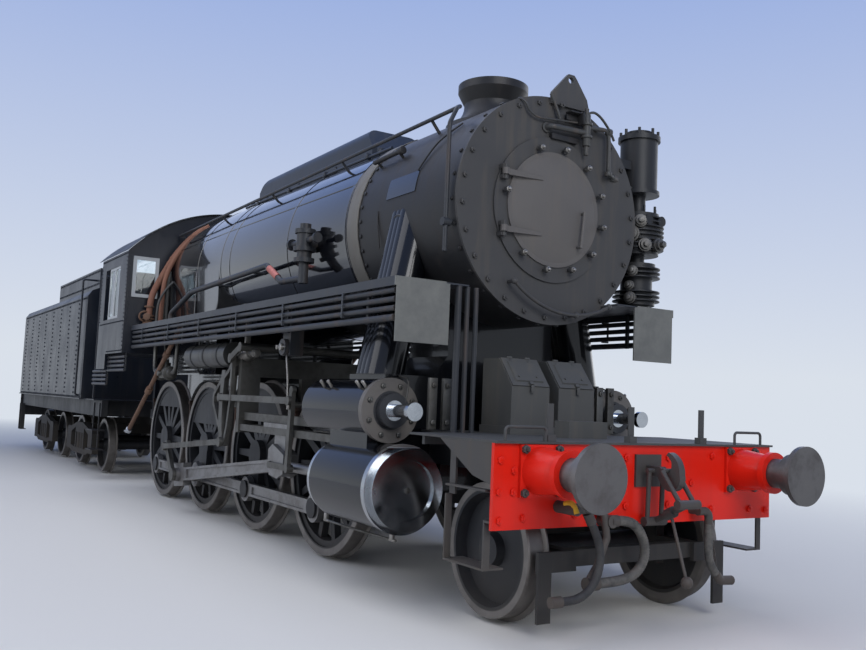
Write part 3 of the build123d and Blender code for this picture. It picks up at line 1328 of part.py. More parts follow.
# Crossheads that run between the bars, and piston rods
SLIPPER_HALF = 260
SLIPPER_Z = (LOW_BAR_Z[1] + 1, TOP_BAR_Z[0] - 1)
HEAD_HALF_WIDTH = 70
PISTON_ROD_RADIUS = 42
UNION_Z = 750
with BuildPart() as crossheads:
    for side, head_x, end_x, end_z in SIDES:
        block((head_x - SLIPPER_HALF, head_x + SLIPPER_HALF), (side * 978, side * 1142), SLIPPER_Z)
        with BuildSketch(
            Plane.XZ.offset(CYLINDER_Y - HEAD_HALF_WIDTH if side < 0 else -CYLINDER_Y - HEAD_HALF_WIDTH)
        ):
            with BuildLine():
                Polyline(
                    (head_x - 150, 800),
                    (head_x - 110, 660),
                    (head_x + 60, 640),
                    (head_x + 190, 690),
                    (head_x + 190, 850),
                    (head_x - 60, 930),
                    (head_x - 150, 880),
                    close=True,
                )
            make_face()
        extrude(amount=2 * HEAD_HALF_WIDTH)
        block((head_x - 120, head_x + 120), (side * 1032, side * 1088), (880, SLIPPER_Z[0]))
        block((head_x - 151, head_x + 110), (side * 1013, side * 1107), (600, 870), Mode.SUBTRACT)
        drum(
            (head_x, side * 985, AXLE_Z),
            (head_x, side * (CYLINDER_Y + HEAD_HALF_WIDTH), AXLE_Z),
            WRIST_PIN_RADIUS,
        )
        drum(
            (head_x + 190, side * CYLINDER_Y, AXLE_Z),
            (COVER_BACK_X, side * CYLINDER_Y, AXLE_Z),
            PISTON_ROD_RADIUS,
        )
crossheads.part.label = "crossheads"
export_step(crossheads.part, "parts/crossheads.step")

# Connecting rods, tapered and fluted, each with the big end pin that carries the return crank
BIG_END_DEPTH = 146
SMALL_END_DEPTH = 105
FLUTE_DEPTH = 22
FLUTE_EDGE = 26
SMALL_EYE_RADIUS = 85
BIG_END_SIZE = (330, 250)
ROD_TAPER_START = 260
with BuildPart() as connecting_rods:
    for side, head_x, end_x, end_z in SIDES:
        near = MAIN_ROD_INSIDE if side < 0 else -MAIN_ROD_OUTSIDE
        along = Plane(
            origin=(end_x, -near, end_z),
            x_dir=(head_x - end_x, 0, AXLE_Z - end_z),
            z_dir=(0, -1, 0),
        )
        with BuildSketch(along):
            with Locations((ROD_LENGTH, 0)):
                Circle(SMALL_EYE_RADIUS)
            Rectangle(*BIG_END_SIZE)
            with BuildLine():
                Polyline(
                    (0, -BIG_END_DEPTH / 2),
                    (ROD_LENGTH, -SMALL_END_DEPTH / 2),
                    (ROD_LENGTH, SMALL_END_DEPTH / 2),
                    (0, BIG_END_DEPTH / 2),
                    close=True,
                )
            make_face()
            with Locations((ROD_LENGTH, 0)):
                Circle(WRIST_PIN_RADIUS + SEAT_GAP, mode=Mode.SUBTRACT)
        extrude(amount=MAIN_ROD_OUTSIDE - MAIN_ROD_INSIDE)
        for flute_base, deep in ((0, 1), (MAIN_ROD_OUTSIDE - MAIN_ROD_INSIDE, -1)):
            with BuildSketch(along.offset(flute_base)):
                with BuildLine():
                    Polyline(
                        (ROD_TAPER_START, -BIG_END_DEPTH / 2 + FLUTE_EDGE),
                        (ROD_LENGTH - ROD_TAPER_START, -SMALL_END_DEPTH / 2 + FLUTE_EDGE),
                        (ROD_LENGTH - ROD_TAPER_START, SMALL_END_DEPTH / 2 - FLUTE_EDGE),
                        (ROD_TAPER_START, BIG_END_DEPTH / 2 - FLUTE_EDGE),
                        close=True,
                    )
                make_face()
            extrude(amount=deep * FLUTE_DEPTH, mode=Mode.SUBTRACT)
        drum(
            (end_x, side * (PIN_END + OPEN_PIVOT_GAP), end_z),
            (end_x, side * BIG_END_PIN_OUT, end_z),
            MAIN_PIN_RADIUS,
        )
connecting_rods.part.label = "connecting_rods"
export_step(connecting_rods.part, "parts/connecting_rods.step")


def bar(side, start, end, near, far, width, end_radius):
    """A flat bar with round eyes, between two points in a side's plane."""
    base = near if side < 0 else -far
    run = math.hypot(end[0] - start[0], end[1] - start[1])
    turn = math.degrees(math.atan2(end[1] - start[1], end[0] - start[0]))
    with BuildPart() as link:
        with BuildSketch(Plane.XZ.offset(base)):
            with Locations(((start[0] + end[0]) / 2, (start[1] + end[1]) / 2)):
                Rectangle(run, width, rotation=turn)
            for eye in (start, end):
                with Locations(eye):
                    Circle(end_radius)
        extrude(amount=far - near)
    return link.part


# Outside valve gear: return crank, eccentric rod, link, radius rod, combination lever
LINK_X = 4200
LINK_FOOT = (4300, 880)
LINK_MIDDLE_Z = 1250
LINK_CURVE = 1450
LINK_HALF_HEIGHT = 330
LINK_WIDTH = 96
LINK_Y = (1140, 1190)
LINK_FRAME = (
    # along and up, the open frame that carries the link, from its foot round the front
    (4262, 840),
    (4345, 840),
    (4410, 1020),
    (4462, 1258),
    (4490, 1520),
    (4560, 1620),
    (4540, 1700),
    (4480, 1700),
    (4360, 1590),
    (4109, 1460),
    (3950, 1345),
    (3955, 1240),
    (4170, 1000),
)
LINK_FRAME_WEB = 42
RADIUS_ROD_Z = 1313
LEVER_X = 5900
LEVER_TOP = 1400
LEVER_LENGTH = 650
LEVER_LEAN_LIMIT = 330
UNION_ARM = 77
UNION_LENGTH = 458
RETURN_THROW = 270
SHAFT_X = 4800
SHAFT_Z = 1790
LIFT_X = 4540
LIFT_Z = 1690
GEAR_LAYERS = {
    # each bar's two faces across the engine
    "crank": (BIG_END_PIN_OUT, 1192),
    "eccentric": (1192, 1230),
    "radius": (1190, 1222),
    "lever": (1155, 1190),
    "union": (1130, 1155),
    "lift": (1190, 1225),
    "arm": (1225, 1250),
}
with BuildPart() as valve_gear:
    for side, head_x, end_x, end_z in SIDES:
        crank = math.atan2(end_z - AXLE_Z, end_x - MAIN_X) - math.radians(83)
        pin = (MAIN_X + RETURN_THROW * math.cos(crank), AXLE_Z + RETURN_THROW * math.sin(crank))
        add(bar(side, (end_x, end_z), pin, *GEAR_LAYERS["crank"], 80, 70))
        add(bar(side, pin, LINK_FOOT, *GEAR_LAYERS["eccentric"], 56, 48))
        drum((LINK_FOOT[0], side * LINK_Y[0], LINK_FOOT[1]), (LINK_FOOT[0], side * 1192, LINK_FOOT[1]), 30)
        # The slotted link, curved about the front of the radius rod, in its open frame
        link_plane = Plane.XZ.offset(LINK_Y[0] if side < 0 else -LINK_Y[1])
        with BuildSketch(link_plane):
            with Locations((LINK_X + LINK_CURVE, LINK_MIDDLE_Z)):
                Circle(LINK_CURVE + LINK_WIDTH / 2)
                Circle(LINK_CURVE - LINK_WIDTH / 2, mode=Mode.SUBTRACT)
            with Locations((LINK_X, LINK_MIDDLE_Z)):
                Rectangle(420, 2 * LINK_HALF_HEIGHT, mode=Mode.INTERSECT)
        extrude(amount=LINK_Y[1] - LINK_Y[0])
        with BuildSketch(link_plane):
            with BuildLine():
                Polyline(*LINK_FRAME, close=True)
            make_face()
            offset(amount=-LINK_FRAME_WEB, mode=Mode.SUBTRACT)
        extrude(amount=LINK_Y[1] - LINK_Y[0])
        block((LINK_X, BRACKET_X[0]), (side * 1060, side * 1120), (LINK_MIDDLE_Z - 30, LINK_MIDDLE_Z + 30))
        trunnion = LINK_X - 20
        drum((trunnion, side * 1060, LINK_MIDDLE_Z), (trunnion, side * LINK_Y[0], LINK_MIDDLE_Z), 34)
        add(bar(side, (LINK_X + 10, RADIUS_ROD_Z), (LEVER_X, RADIUS_ROD_Z), *GEAR_LAYERS["radius"], 56, 40))
        # Combination lever, leaning as far as the crosshead's arm and the union link pull it
        arm_x = head_x - UNION_ARM
        foot_x = min(arm_x + UNION_LENGTH, LEVER_X + LEVER_LEAN_LIMIT)
        foot_z = LEVER_TOP - math.sqrt(LEVER_LENGTH ** 2 - (foot_x - LEVER_X) ** 2)
        add(bar(side, (LEVER_X, LEVER_TOP), (foot_x, foot_z), *GEAR_LAYERS["lever"], 56, 36))
        add(bar(side, (foot_x, foot_z), (arm_x, UNION_Z), *GEAR_LAYERS["union"], 50, 32))
        drum((LEVER_X, side * CYLINDER_Y, CHEST_Z), (LEVER_X, side * 1155, CHEST_Z), 24)
        drum((LEVER_X - 50, side * CYLINDER_Y, CHEST_Z), (GUIDE_FRONT_X, side * CYLINDER_Y, CHEST_Z), 26)
        # Reversing shaft above the wheels, with its arm and lifting link
        drum((SHAFT_X, 0, SHAFT_Z), (SHAFT_X, side * 1225, SHAFT_Z), 40)
        add(bar(side, (SHAFT_X, SHAFT_Z), (LIFT_X, LIFT_Z), *GEAR_LAYERS["arm"], 60, 45))
        add(bar(side, (LIFT_X, LIFT_Z), (LIFT_X, RADIUS_ROD_Z), *GEAR_LAYERS["lift"], 40, 30))
valve_gear.part.label = "valve_gear"
export_step(valve_gear.part, "parts/valve_gear.step")
# Spoked driving wheels
TYRE_LIP_RADIUS = 650
SPOKE_HALF_ROOT = 42
SPOKE_HALF_TIP = 30
SPOKE_PLANES = (715, 775)
BOSS_BASE = 700
WEIGHT_OUTSIDE = 795
COUPLED_WEIGHT_EDGE = 400
MAIN_WEIGHT_EDGE = 240
PIN_CAP_RADIUS = 85


def driving_wheel(pin_radius, cap_radius, weight_edge):
    """One spoked driving wheel, axis along Y, outside toward minus Y, crank straight down."""
    with BuildPart() as wheel:
        with BuildSketch(Plane.XY):
            with BuildLine():
                Polyline(
                    (RIM_INSIDE_RADIUS, -TYRE_OUTSIDE + 20),
                    (TYRE_LIP_RADIUS, -TYRE_OUTSIDE + 20),
                    (TYRE_LIP_RADIUS, -TYRE_OUTSIDE),
                    (TREAD_RADIUS - 4, -TYRE_OUTSIDE),
                    (TREAD_RADIUS, -TYRE_OUTSIDE + 12),
                    (TREAD_RADIUS, -TYRE_INSIDE - FLANGE_THICK),
                    (AXLE_Z, -TYRE_INSIDE - 18),
                    (AXLE_Z, -TYRE_INSIDE - 8),
                    (TREAD_RADIUS, -TYRE_INSIDE),
                    (RIM_INSIDE_RADIUS, -TYRE_INSIDE),
                    close=True,
                )
            make_face()
        revolve(axis=Axis.Y)
        with BuildSketch(Plane.XZ.offset(SPOKE_PLANES[0])):
            with PolarLocations(0, SPOKE_COUNT, start_angle=90 + 180 / SPOKE_COUNT):
                Polygon(
                    (HUB_RADIUS - 20, -SPOKE_HALF_ROOT),
                    (RIM_INSIDE_RADIUS + 10, -SPOKE_HALF_TIP),
                    (RIM_INSIDE_RADIUS + 10, SPOKE_HALF_TIP),
                    (HUB_RADIUS - 20, SPOKE_HALF_ROOT),
                    align=None,
                )
        extrude(amount=SPOKE_PLANES[1] - SPOKE_PLANES[0])
        drum((0, -HUB_INSIDE, 0), (0, -HUB_OUTSIDE, 0), HUB_RADIUS)
        with BuildSketch(Plane.XZ.offset(BOSS_BASE)):
            Circle(HUB_RADIUS - 10)
            with Locations((0, -CRANK_RADIUS)):
                Circle(CRANK_BOSS_RADIUS)
            make_hull()
        extrude(amount=HUB_OUTSIDE - BOSS_BASE)
        with BuildSketch(Plane.XZ.offset(BOSS_BASE)):
            Circle(RIM_INSIDE_RADIUS + 5)
            with Locations((0, weight_edge - TYRE_INSIDE - 20)):
                Rectangle(2 * TYRE_INSIDE + 40, 2 * TYRE_INSIDE + 40, mode=Mode.SUBTRACT)
        extrude(amount=WEIGHT_OUTSIDE - BOSS_BASE)
        drum((0, -HUB_OUTSIDE, -CRANK_RADIUS), (0, -PIN_END, -CRANK_RADIUS), pin_radius)
        drum((0, -HUB_OUTSIDE, -CRANK_RADIUS), (0, -SIDE_ROD_INSIDE + 1, -CRANK_RADIUS), pin_radius + 20)
        if cap_radius:
            drum((0, -SIDE_ROD_OUTSIDE - 1, -CRANK_RADIUS), (0, -PIN_END, -CRANK_RADIUS), cap_radius)
    return wheel.part


def driving_pair(axle, pattern):
    """Two driving wheels on their axle, the left crank a quarter turn ahead of the right one."""
    with BuildPart() as pair:
        with Locations(Location((axle, 0, AXLE_Z)), Location((axle, 0, AXLE_Z), (0, -90, 180))):
            add(pattern)
        drum((axle, -HUB_INSIDE + SEAT_GAP, AXLE_Z), (axle, HUB_INSIDE - SEAT_GAP, AXLE_Z), AXLE_RADIUS)
    return pair.part


COUPLED_WHEEL = driving_wheel(CRANK_PIN_RADIUS, PIN_CAP_RADIUS, COUPLED_WEIGHT_EDGE)
MAIN_WHEEL = driving_wheel(MAIN_PIN_RADIUS, 0, MAIN_WEIGHT_EDGE)

with BuildPart() as driving_wheels_1:
    add(driving_pair(DRIVER_X[0], COUPLED_WHEEL))
driving_wheels_1.part.label = "driving_wheels_1"
export_step(driving_wheels_1.part, "parts/driving_wheels_1.step")

with BuildPart() as driving_wheels_2:
    add(driving_pair(DRIVER_X[1], COUPLED_WHEEL))
driving_wheels_2.part.label = "driving_wheels_2"
export_step(driving_wheels_2.part, "parts/driving_wheels_2.step")

with BuildPart() as driving_wheels_3:
    add(driving_pair(MAIN_X, MAIN_WHEEL))
driving_wheels_3.part.label = "driving_wheels_3"
export_step(driving_wheels_3.part, "parts/driving_wheels_3.step")

with BuildPart() as driving_wheels_4:
    add(driving_pair(DRIVER_X[3], COUPLED_WHEEL))
driving_wheels_4.part.label = "driving_wheels_4"
export_step(driving_wheels_4.part, "parts/driving_wheels_4.step")

# Coupling rods with an eye over each crank pin and a flute in each span
EYE_WALL = 60
ROD_FLUTE = (DRIVER_PITCH - 360, SIDE_ROD_HEIGHT - 50, 16)


def coupling_rod(side, shift_x, level):
    """A coupling rod at the height and place that its cranks give it."""
    near = SIDE_ROD_INSIDE if side < 0 else -SIDE_ROD_OUTSIDE
    pins = [axle + shift_x for axle in DRIVER_X]
    with BuildPart() as rod:
        with BuildSketch(Plane.XZ.offset(near)):
            with Locations(((pins[0] + pins[-1]) / 2, level)):
                Rectangle(pins[0] - pins[-1], SIDE_ROD_HEIGHT)
            for number, pin in enumerate(pins):
                bore = MAIN_PIN_RADIUS if number == MAIN_DRIVER else CRANK_PIN_RADIUS
                with Locations((pin, level)):
                    Circle(bore + EYE_WALL)
            for number, pin in enumerate(pins):
                bore = MAIN_PIN_RADIUS if number == MAIN_DRIVER else CRANK_PIN_RADIUS
                with Locations((pin, level)):
                    Circle(bore + RUNNING_GAP, mode=Mode.SUBTRACT)
        extrude(amount=SIDE_ROD_OUTSIDE - SIDE_ROD_INSIDE)
        with BuildSketch(Plane.XZ.offset(-side * SIDE_ROD_OUTSIDE)):
            for ahead, behind in zip(pins, pins[1:]):
                with Locations(((ahead + behind) / 2, level)):
                    Rectangle(ROD_FLUTE[0], ROD_FLUTE[1])
        extrude(amount=side * ROD_FLUTE[2], mode=Mode.SUBTRACT)
    return rod.part


with BuildPart() as coupling_rod_right:
    add(coupling_rod(-1, 0, CRANK_Z))
coupling_rod_right.part.label = "coupling_rod_right"
export_step(coupling_rod_right.part, "parts/coupling_rod_right.step")

with BuildPart() as coupling_rod_left:
    add(coupling_rod(1, CRANK_RADIUS, AXLE_Z))
coupling_rod_left.part.label = "coupling_rod_left"
export_step(coupling_rod_left.part, "parts/coupling_rod_left.step")

# Brake blocks behind each driving wheel, hung from brackets on the frames
SHOE_INNER = TREAD_RADIUS + 7
SHOE_THICK = 42
SHOE_HALF_ANGLE = 17
SHOE_FACE_Y = TYRE_INSIDE + 38
SHOE_WIDTH = 90
HANGER_Y = (745, 790)
HANGER_HALF = 16
HANGER_TOP = 470
HANGER_PIN_RADIUS = 24
with BuildPart() as brake_gear:
    for axle in DRIVER_X:
        with BuildSketch(Plane.XZ.offset(SHOE_FACE_Y)):
            with Locations((axle, AXLE_Z)):
                Circle(SHOE_INNER + SHOE_THICK)
                Circle(SHOE_INNER, mode=Mode.SUBTRACT)
            with Locations((axle - SHOE_INNER - 70, AXLE_Z)):
                Rectangle(300, 2 * SHOE_INNER * math.sin(math.radians(SHOE_HALF_ANGLE)), mode=Mode.INTERSECT)
        extrude(amount=SHOE_WIDTH)
        hook_x = axle - SHOE_INNER - SHOE_THICK / 2
        hook_z = AXLE_Z + HANGER_TOP
        block((hook_x - HANGER_HALF, hook_x + HANGER_HALF), (-HANGER_Y[1], -HANGER_Y[0]), (AXLE_Z, hook_z))
        drum((hook_x, -HANGER_Y[1] - 10, hook_z), (hook_x, -FRAME_OUTSIDE + 30, hook_z), HANGER_PIN_RADIUS)
        block((hook_x - 30, hook_x + 30), (-FRAME_OUTSIDE, -FRAME_OUTSIDE + 50), (FRAME_TOP, hook_z + 30))
    mirror(about=Plane.XZ)
brake_gear.part.label = "brake_gear"
export_step(brake_gear.part, "parts/brake_gear.step")

# Hand rails high along the boiler, the right one turning down beside the smokebox front
RAIL_RADIUS = 16
RAIL_BEND = 70
STANCHION_RADIUS = 13
STANCHION_X = (2542, 3987, 5553, 7034)
RAIL_START = (1000, 760, 3415)
RAIL_END = (7420, 625, 3545)
RAIL_SHOULDER = (7650, 800, 3440)
RAIL_DROP_X = 7690
RAIL_DROP_Y = 885
RAIL_DROP_Z = (3300, 2394)
BALL_POST_Z = 2600
BALL_POST_RADIUS = 30


def rail_at(along, side):
    """The point of a side's rail at a place along the boiler."""
    share = (along - RAIL_START[0]) / (RAIL_END[0] - RAIL_START[0])
    across = RAIL_START[1] + share * (RAIL_END[1] - RAIL_START[1])
    return (along, side * across, RAIL_START[2] + share * (RAIL_END[2] - RAIL_START[2]))


RIGHT_RAIL = pipe(
    [
        rail_at(RAIL_START[0], -1),
        rail_at(RAIL_END[0], -1),
        (RAIL_SHOULDER[0], -RAIL_SHOULDER[1], RAIL_SHOULDER[2]),
        (RAIL_DROP_X, -RAIL_DROP_Y, RAIL_DROP_Z[0]),
        (RAIL_DROP_X, -RAIL_DROP_Y, RAIL_DROP_Z[1]),
    ],
    RAIL_RADIUS,
    RAIL_BEND,
)
with BuildPart() as handrails:
    add(RIGHT_RAIL)
    drum(rail_at(RAIL_START[0], 1), rail_at(RAIL_END[0], 1), RAIL_RADIUS)
    for side in (-1, 1):
        for post in (RAIL_START[0] + 60,) + STANCHION_X:
            head = rail_at(post, side)
            inward = math.atan2(head[2] - BOILER_Z, head[1])
            foot = (post, 800 * math.cos(inward), BOILER_Z + 800 * math.sin(inward))
            drum(head, foot, STANCHION_RADIUS)
    drum((RAIL_DROP_X, -RAIL_DROP_Y, BALL_POST_Z), (RAIL_DROP_X, -780, BALL_POST_Z), 14)
    ball = (RAIL_DROP_X, -RAIL_DROP_Y - BALL_POST_RADIUS, BALL_POST_Z)
    drum(ball, (RAIL_DROP_X, -RAIL_DROP_Y + BALL_POST_RADIUS, BALL_POST_Z), BALL_POST_RADIUS)
    add(BOILER_SEAT, mode=Mode.SUBTRACT)
handrails.part.label = "handrails"
export_step(handrails.part, "parts/handrails.step")

# Check valves on the barrel with their feed pipes, and the lubricators under the boards
CHECK_X = 5500
CHECK_Y = 960
SPINDLE_Z = 2735
CHECK_STAGES = (
    # bottom, top and radius
    (2355, 2540, 44),
    (2540, 2580, 92),
    (2580, 2640, 66),
    (2640, 2680, 100),
    (2680, 2800, 74),
    (2800, 2840, 92),
    (2840, 2890, 50),
)
FEED_RADIUS = 30
FEED_LINE = (
    # along, across, up
    (2150, 1150, 2172),
    (2150, 1150, 2270),
    (2620, 1060, 2500),
    (4730, 1000, 2590),
    (5110, 1000, 2400),
    (5500, 960, 2400),
)
with BuildPart() as boiler_fittings:
    for side in (-1, 1):
        for low, high, radius in CHECK_STAGES:
            drum((CHECK_X, side * CHECK_Y, low), (CHECK_X, side * CHECK_Y, high), radius)
        drum((CHECK_X, side * 700, SPINDLE_Z), (CHECK_X, side * CHECK_Y, SPINDLE_Z), 58)
        drum((CHECK_X - 290, side * CHECK_Y, SPINDLE_Z), (CHECK_X + 260, side * CHECK_Y, SPINDLE_Z), 26)
        drum((CHECK_X - 300, side * CHECK_Y, SPINDLE_Z), (CHECK_X - 265, side * CHECK_Y, SPINDLE_Z), 52)
        drum((CHECK_X + 235, side * CHECK_Y, SPINDLE_Z), (CHECK_X + 270, side * CHECK_Y, SPINDLE_Z), 44)
        add(pipe([(x, side * y, z) for x, y, z in FEED_LINE], FEED_RADIUS, 60))
        for clip in (3300, 4300):
            share = (clip - FEED_LINE[2][0]) / (FEED_LINE[3][0] - FEED_LINE[2][0])
            level = FEED_LINE[2][2] + share * (FEED_LINE[3][2] - FEED_LINE[2][2])
            across = FEED_LINE[2][1] + share * (FEED_LINE[3][1] - FEED_LINE[2][1])
            drum((clip, side * across, level), (clip, side * 700, level), 14)
        block((5700, 5860), (side * 1080, side * 1200), (1690, BOARD_BOTTOM))
        drum((5780, side * 1200, 1760), (5780, side * 1240, 1760), 70)
    add(BOILER_SEAT, mode=Mode.SUBTRACT)
    block((CAB_FRONT_X, BOARD_FRONT_X), (-BOARD_EDGE, BOARD_EDGE), (BOARD_BOTTOM, BOARD_TOP), Mode.SUBTRACT)
boiler_fittings.part.label = "boiler_fittings"
export_step(boiler_fittings.part, "parts/boiler_fittings.step")

# Disc wheels of the leading truck and the tender
SMALL_AXLE_RADIUS = 75
JOURNAL_RADIUS = 70
JOURNAL_END = 1010
SMALL_RIM_RADIUS = 350


def small_wheelset(journals):
    """A pair of disc wheels on their axle, with journals outside the wheels where asked."""
    with BuildPart() as wheelset:
        with BuildSketch(Plane.XY):
            with BuildLine():
                Polyline(
                    (0, -TYRE_OUTSIDE + 5),
                    (95, -TYRE_OUTSIDE + 5),
                    (110, -760),
                    (SMALL_RIM_RADIUS - 20, -745),
                    (SMALL_RIM_RADIUS, -TYRE_OUTSIDE),
                    (SMALL_RADIUS - 4, -TYRE_OUTSIDE),
                    (SMALL_RADIUS, -TYRE_OUTSIDE + 12),
                    (SMALL_RADIUS, -TYRE_INSIDE - FLANGE_THICK),
                    (SMALL_AXLE_Z, -TYRE_INSIDE - 18),
                    (SMALL_AXLE_Z, -TYRE_INSIDE - 8),
                    (SMALL_RADIUS, -TYRE_INSIDE),
                    (SMALL_RIM_RADIUS, -TYRE_INSIDE),
                    (SMALL_RIM_RADIUS - 20, -715),
                    (130, -715),
                    (110, -TYRE_INSIDE + 5),
                    (0, -TYRE_INSIDE + 5),
                    close=True,
                )
            make_face()
        revolve(axis=Axis.Y)
        mirror(about=Plane.XZ)
        inner = TYRE_INSIDE - 5 - SEAT_GAP
        drum((0, -inner, 0), (0, inner, 0), SMALL_AXLE_RADIUS)
        if journals:
            for side in (-1, 1):
                drum((0, side * (TYRE_OUTSIDE - 5), 0), (0, side * JOURNAL_END, 0), JOURNAL_RADIUS)
    return wheelset.part


PONY_WHEELSET = small_wheelset(False)
with BuildPart() as pony_wheels:
    with Locations((PONY_X, 0, SMALL_AXLE_Z)):
        add(PONY_WHEELSET)
pony_wheels.part.label = "pony_wheels"
export_step(pony_wheels.part, "parts/pony_wheels.step")

# Leading truck frame, pivoted under the cylinders, with guard irons ahead of its wheels
PONY_SIDE = (510, 590)
PONY_FRAME_Z = (400, 500)
PONY_ENDS = (7720, 8680)
TRUCK_BAR = 80
GUARD_Y = (700, 800)
GUARD_FOOT = 90
with BuildPart() as pony_frame:
    base = PONY_FRAME_Z[0] + SEAT_GAP
    drum((PONY_PIVOT_X, 0, base), (PONY_PIVOT_X, 0, PONY_FRAME_Z[1]), 120)
    for side in (-1, 1):
        side_y = (side * PONY_SIDE[0], side * PONY_SIDE[1])
        block(PONY_ENDS, side_y, PONY_FRAME_Z)
        block((PONY_X - 150, PONY_X + 150), side_y, (SMALL_AXLE_Z - 140, SMALL_AXLE_Z + 160))
        with BuildSketch(Plane.XY.offset(base)):
            with BuildLine():
                Polyline(
                    (PONY_PIVOT_X, side * -60),
                    (PONY_PIVOT_X, side * 60),
                    (PONY_ENDS[0] + TRUCK_BAR, side * 580),
                    (PONY_ENDS[0] + TRUCK_BAR, side * 460),
                    close=True,
                )
            make_face()
        extrude(amount=90)
        block(
            (PONY_ENDS[1], PONY_ENDS[1] + 30),
            (side * PONY_SIDE[0], side * GUARD_Y[1]),
            (380, PONY_FRAME_Z[1]),
        )
        block(
            (PONY_ENDS[1] + 10, PONY_ENDS[1] + 30),
            (side * GUARD_Y[0], side * GUARD_Y[1]),
            (GUARD_FOOT, PONY_FRAME_Z[1]),
        )
    block((PONY_ENDS[0], PONY_ENDS[0] + TRUCK_BAR), (-PONY_SIDE[1], PONY_SIDE[1]), PONY_FRAME_Z)
    block((PONY_ENDS[1] - TRUCK_BAR, PONY_ENDS[1]), (-PONY_SIDE[1], PONY_SIDE[1]), PONY_FRAME_Z)
    pivot_low = (PONY_PIVOT_X, 0, PONY_FRAME_Z[0] - 10)
    pivot_high = (PONY_PIVOT_X, 0, PONY_FRAME_Z[1] + 10)
    drum(pivot_low, pivot_high, 40 + RUNNING_GAP, Mode.SUBTRACT)
    axle_bore = SMALL_AXLE_RADIUS + RUNNING_GAP
    drum((PONY_X, -700, SMALL_AXLE_Z), (PONY_X, 700, SMALL_AXLE_Z), axle_bore, Mode.SUBTRACT)
pony_frame.part.label = "pony_frame"
export_step(pony_frame.part, "parts/pony_frame.step")

# Tender wheels, running in outside axle boxes
HALF_BASE = BOGIE_WHEELBASE / 2
TENDER_WHEELSET = small_wheelset(True)
with BuildPart() as tender_wheels_1:
    with Locations((BOGIE_FRONT_X + HALF_BASE, 0, SMALL_AXLE_Z)):
        add(TENDER_WHEELSET)
tender_wheels_1.part.label = "tender_wheels_1"
export_step(tender_wheels_1.part, "parts/tender_wheels_1.step")

with BuildPart() as tender_wheels_2:
    with Locations((BOGIE_FRONT_X - HALF_BASE, 0, SMALL_AXLE_Z)):
        add(TENDER_WHEELSET)
tender_wheels_2.part.label = "tender_wheels_2"
export_step(tender_wheels_2.part, "parts/tender_wheels_2.step")

with BuildPart() as tender_wheels_3:
    with Locations((BOGIE_REAR_X + HALF_BASE, 0, SMALL_AXLE_Z)):
        add(TENDER_WHEELSET)
tender_wheels_3.part.label = "tender_wheels_3"
export_step(tender_wheels_3.part, "parts/tender_wheels_3.step")

with BuildPart() as tender_wheels_4:
    with Locations((BOGIE_REAR_X - HALF_BASE, 0, SMALL_AXLE_Z)):
        add(TENDER_WHEELSET)
tender_wheels_4.part.label = "tender_wheels_4"
export_step(tender_wheels_4.part, "parts/tender_wheels_4.step")

# Cast bogie side frames, arched between the axle boxes, with bolster, springs and centre plate
BOGIE_SIDE = (915, 1015)
BOGIE_PIVOT_TOP = SOLEBAR_BOTTOM - 20
BOX_HALF = 155
BOX_BOTTOM = 300
BOX_TOP = 620
ARCH_TOP = 770
ARCH_LOW = 255
SPRING_X = 190
SPRING_Z = (345, 600)


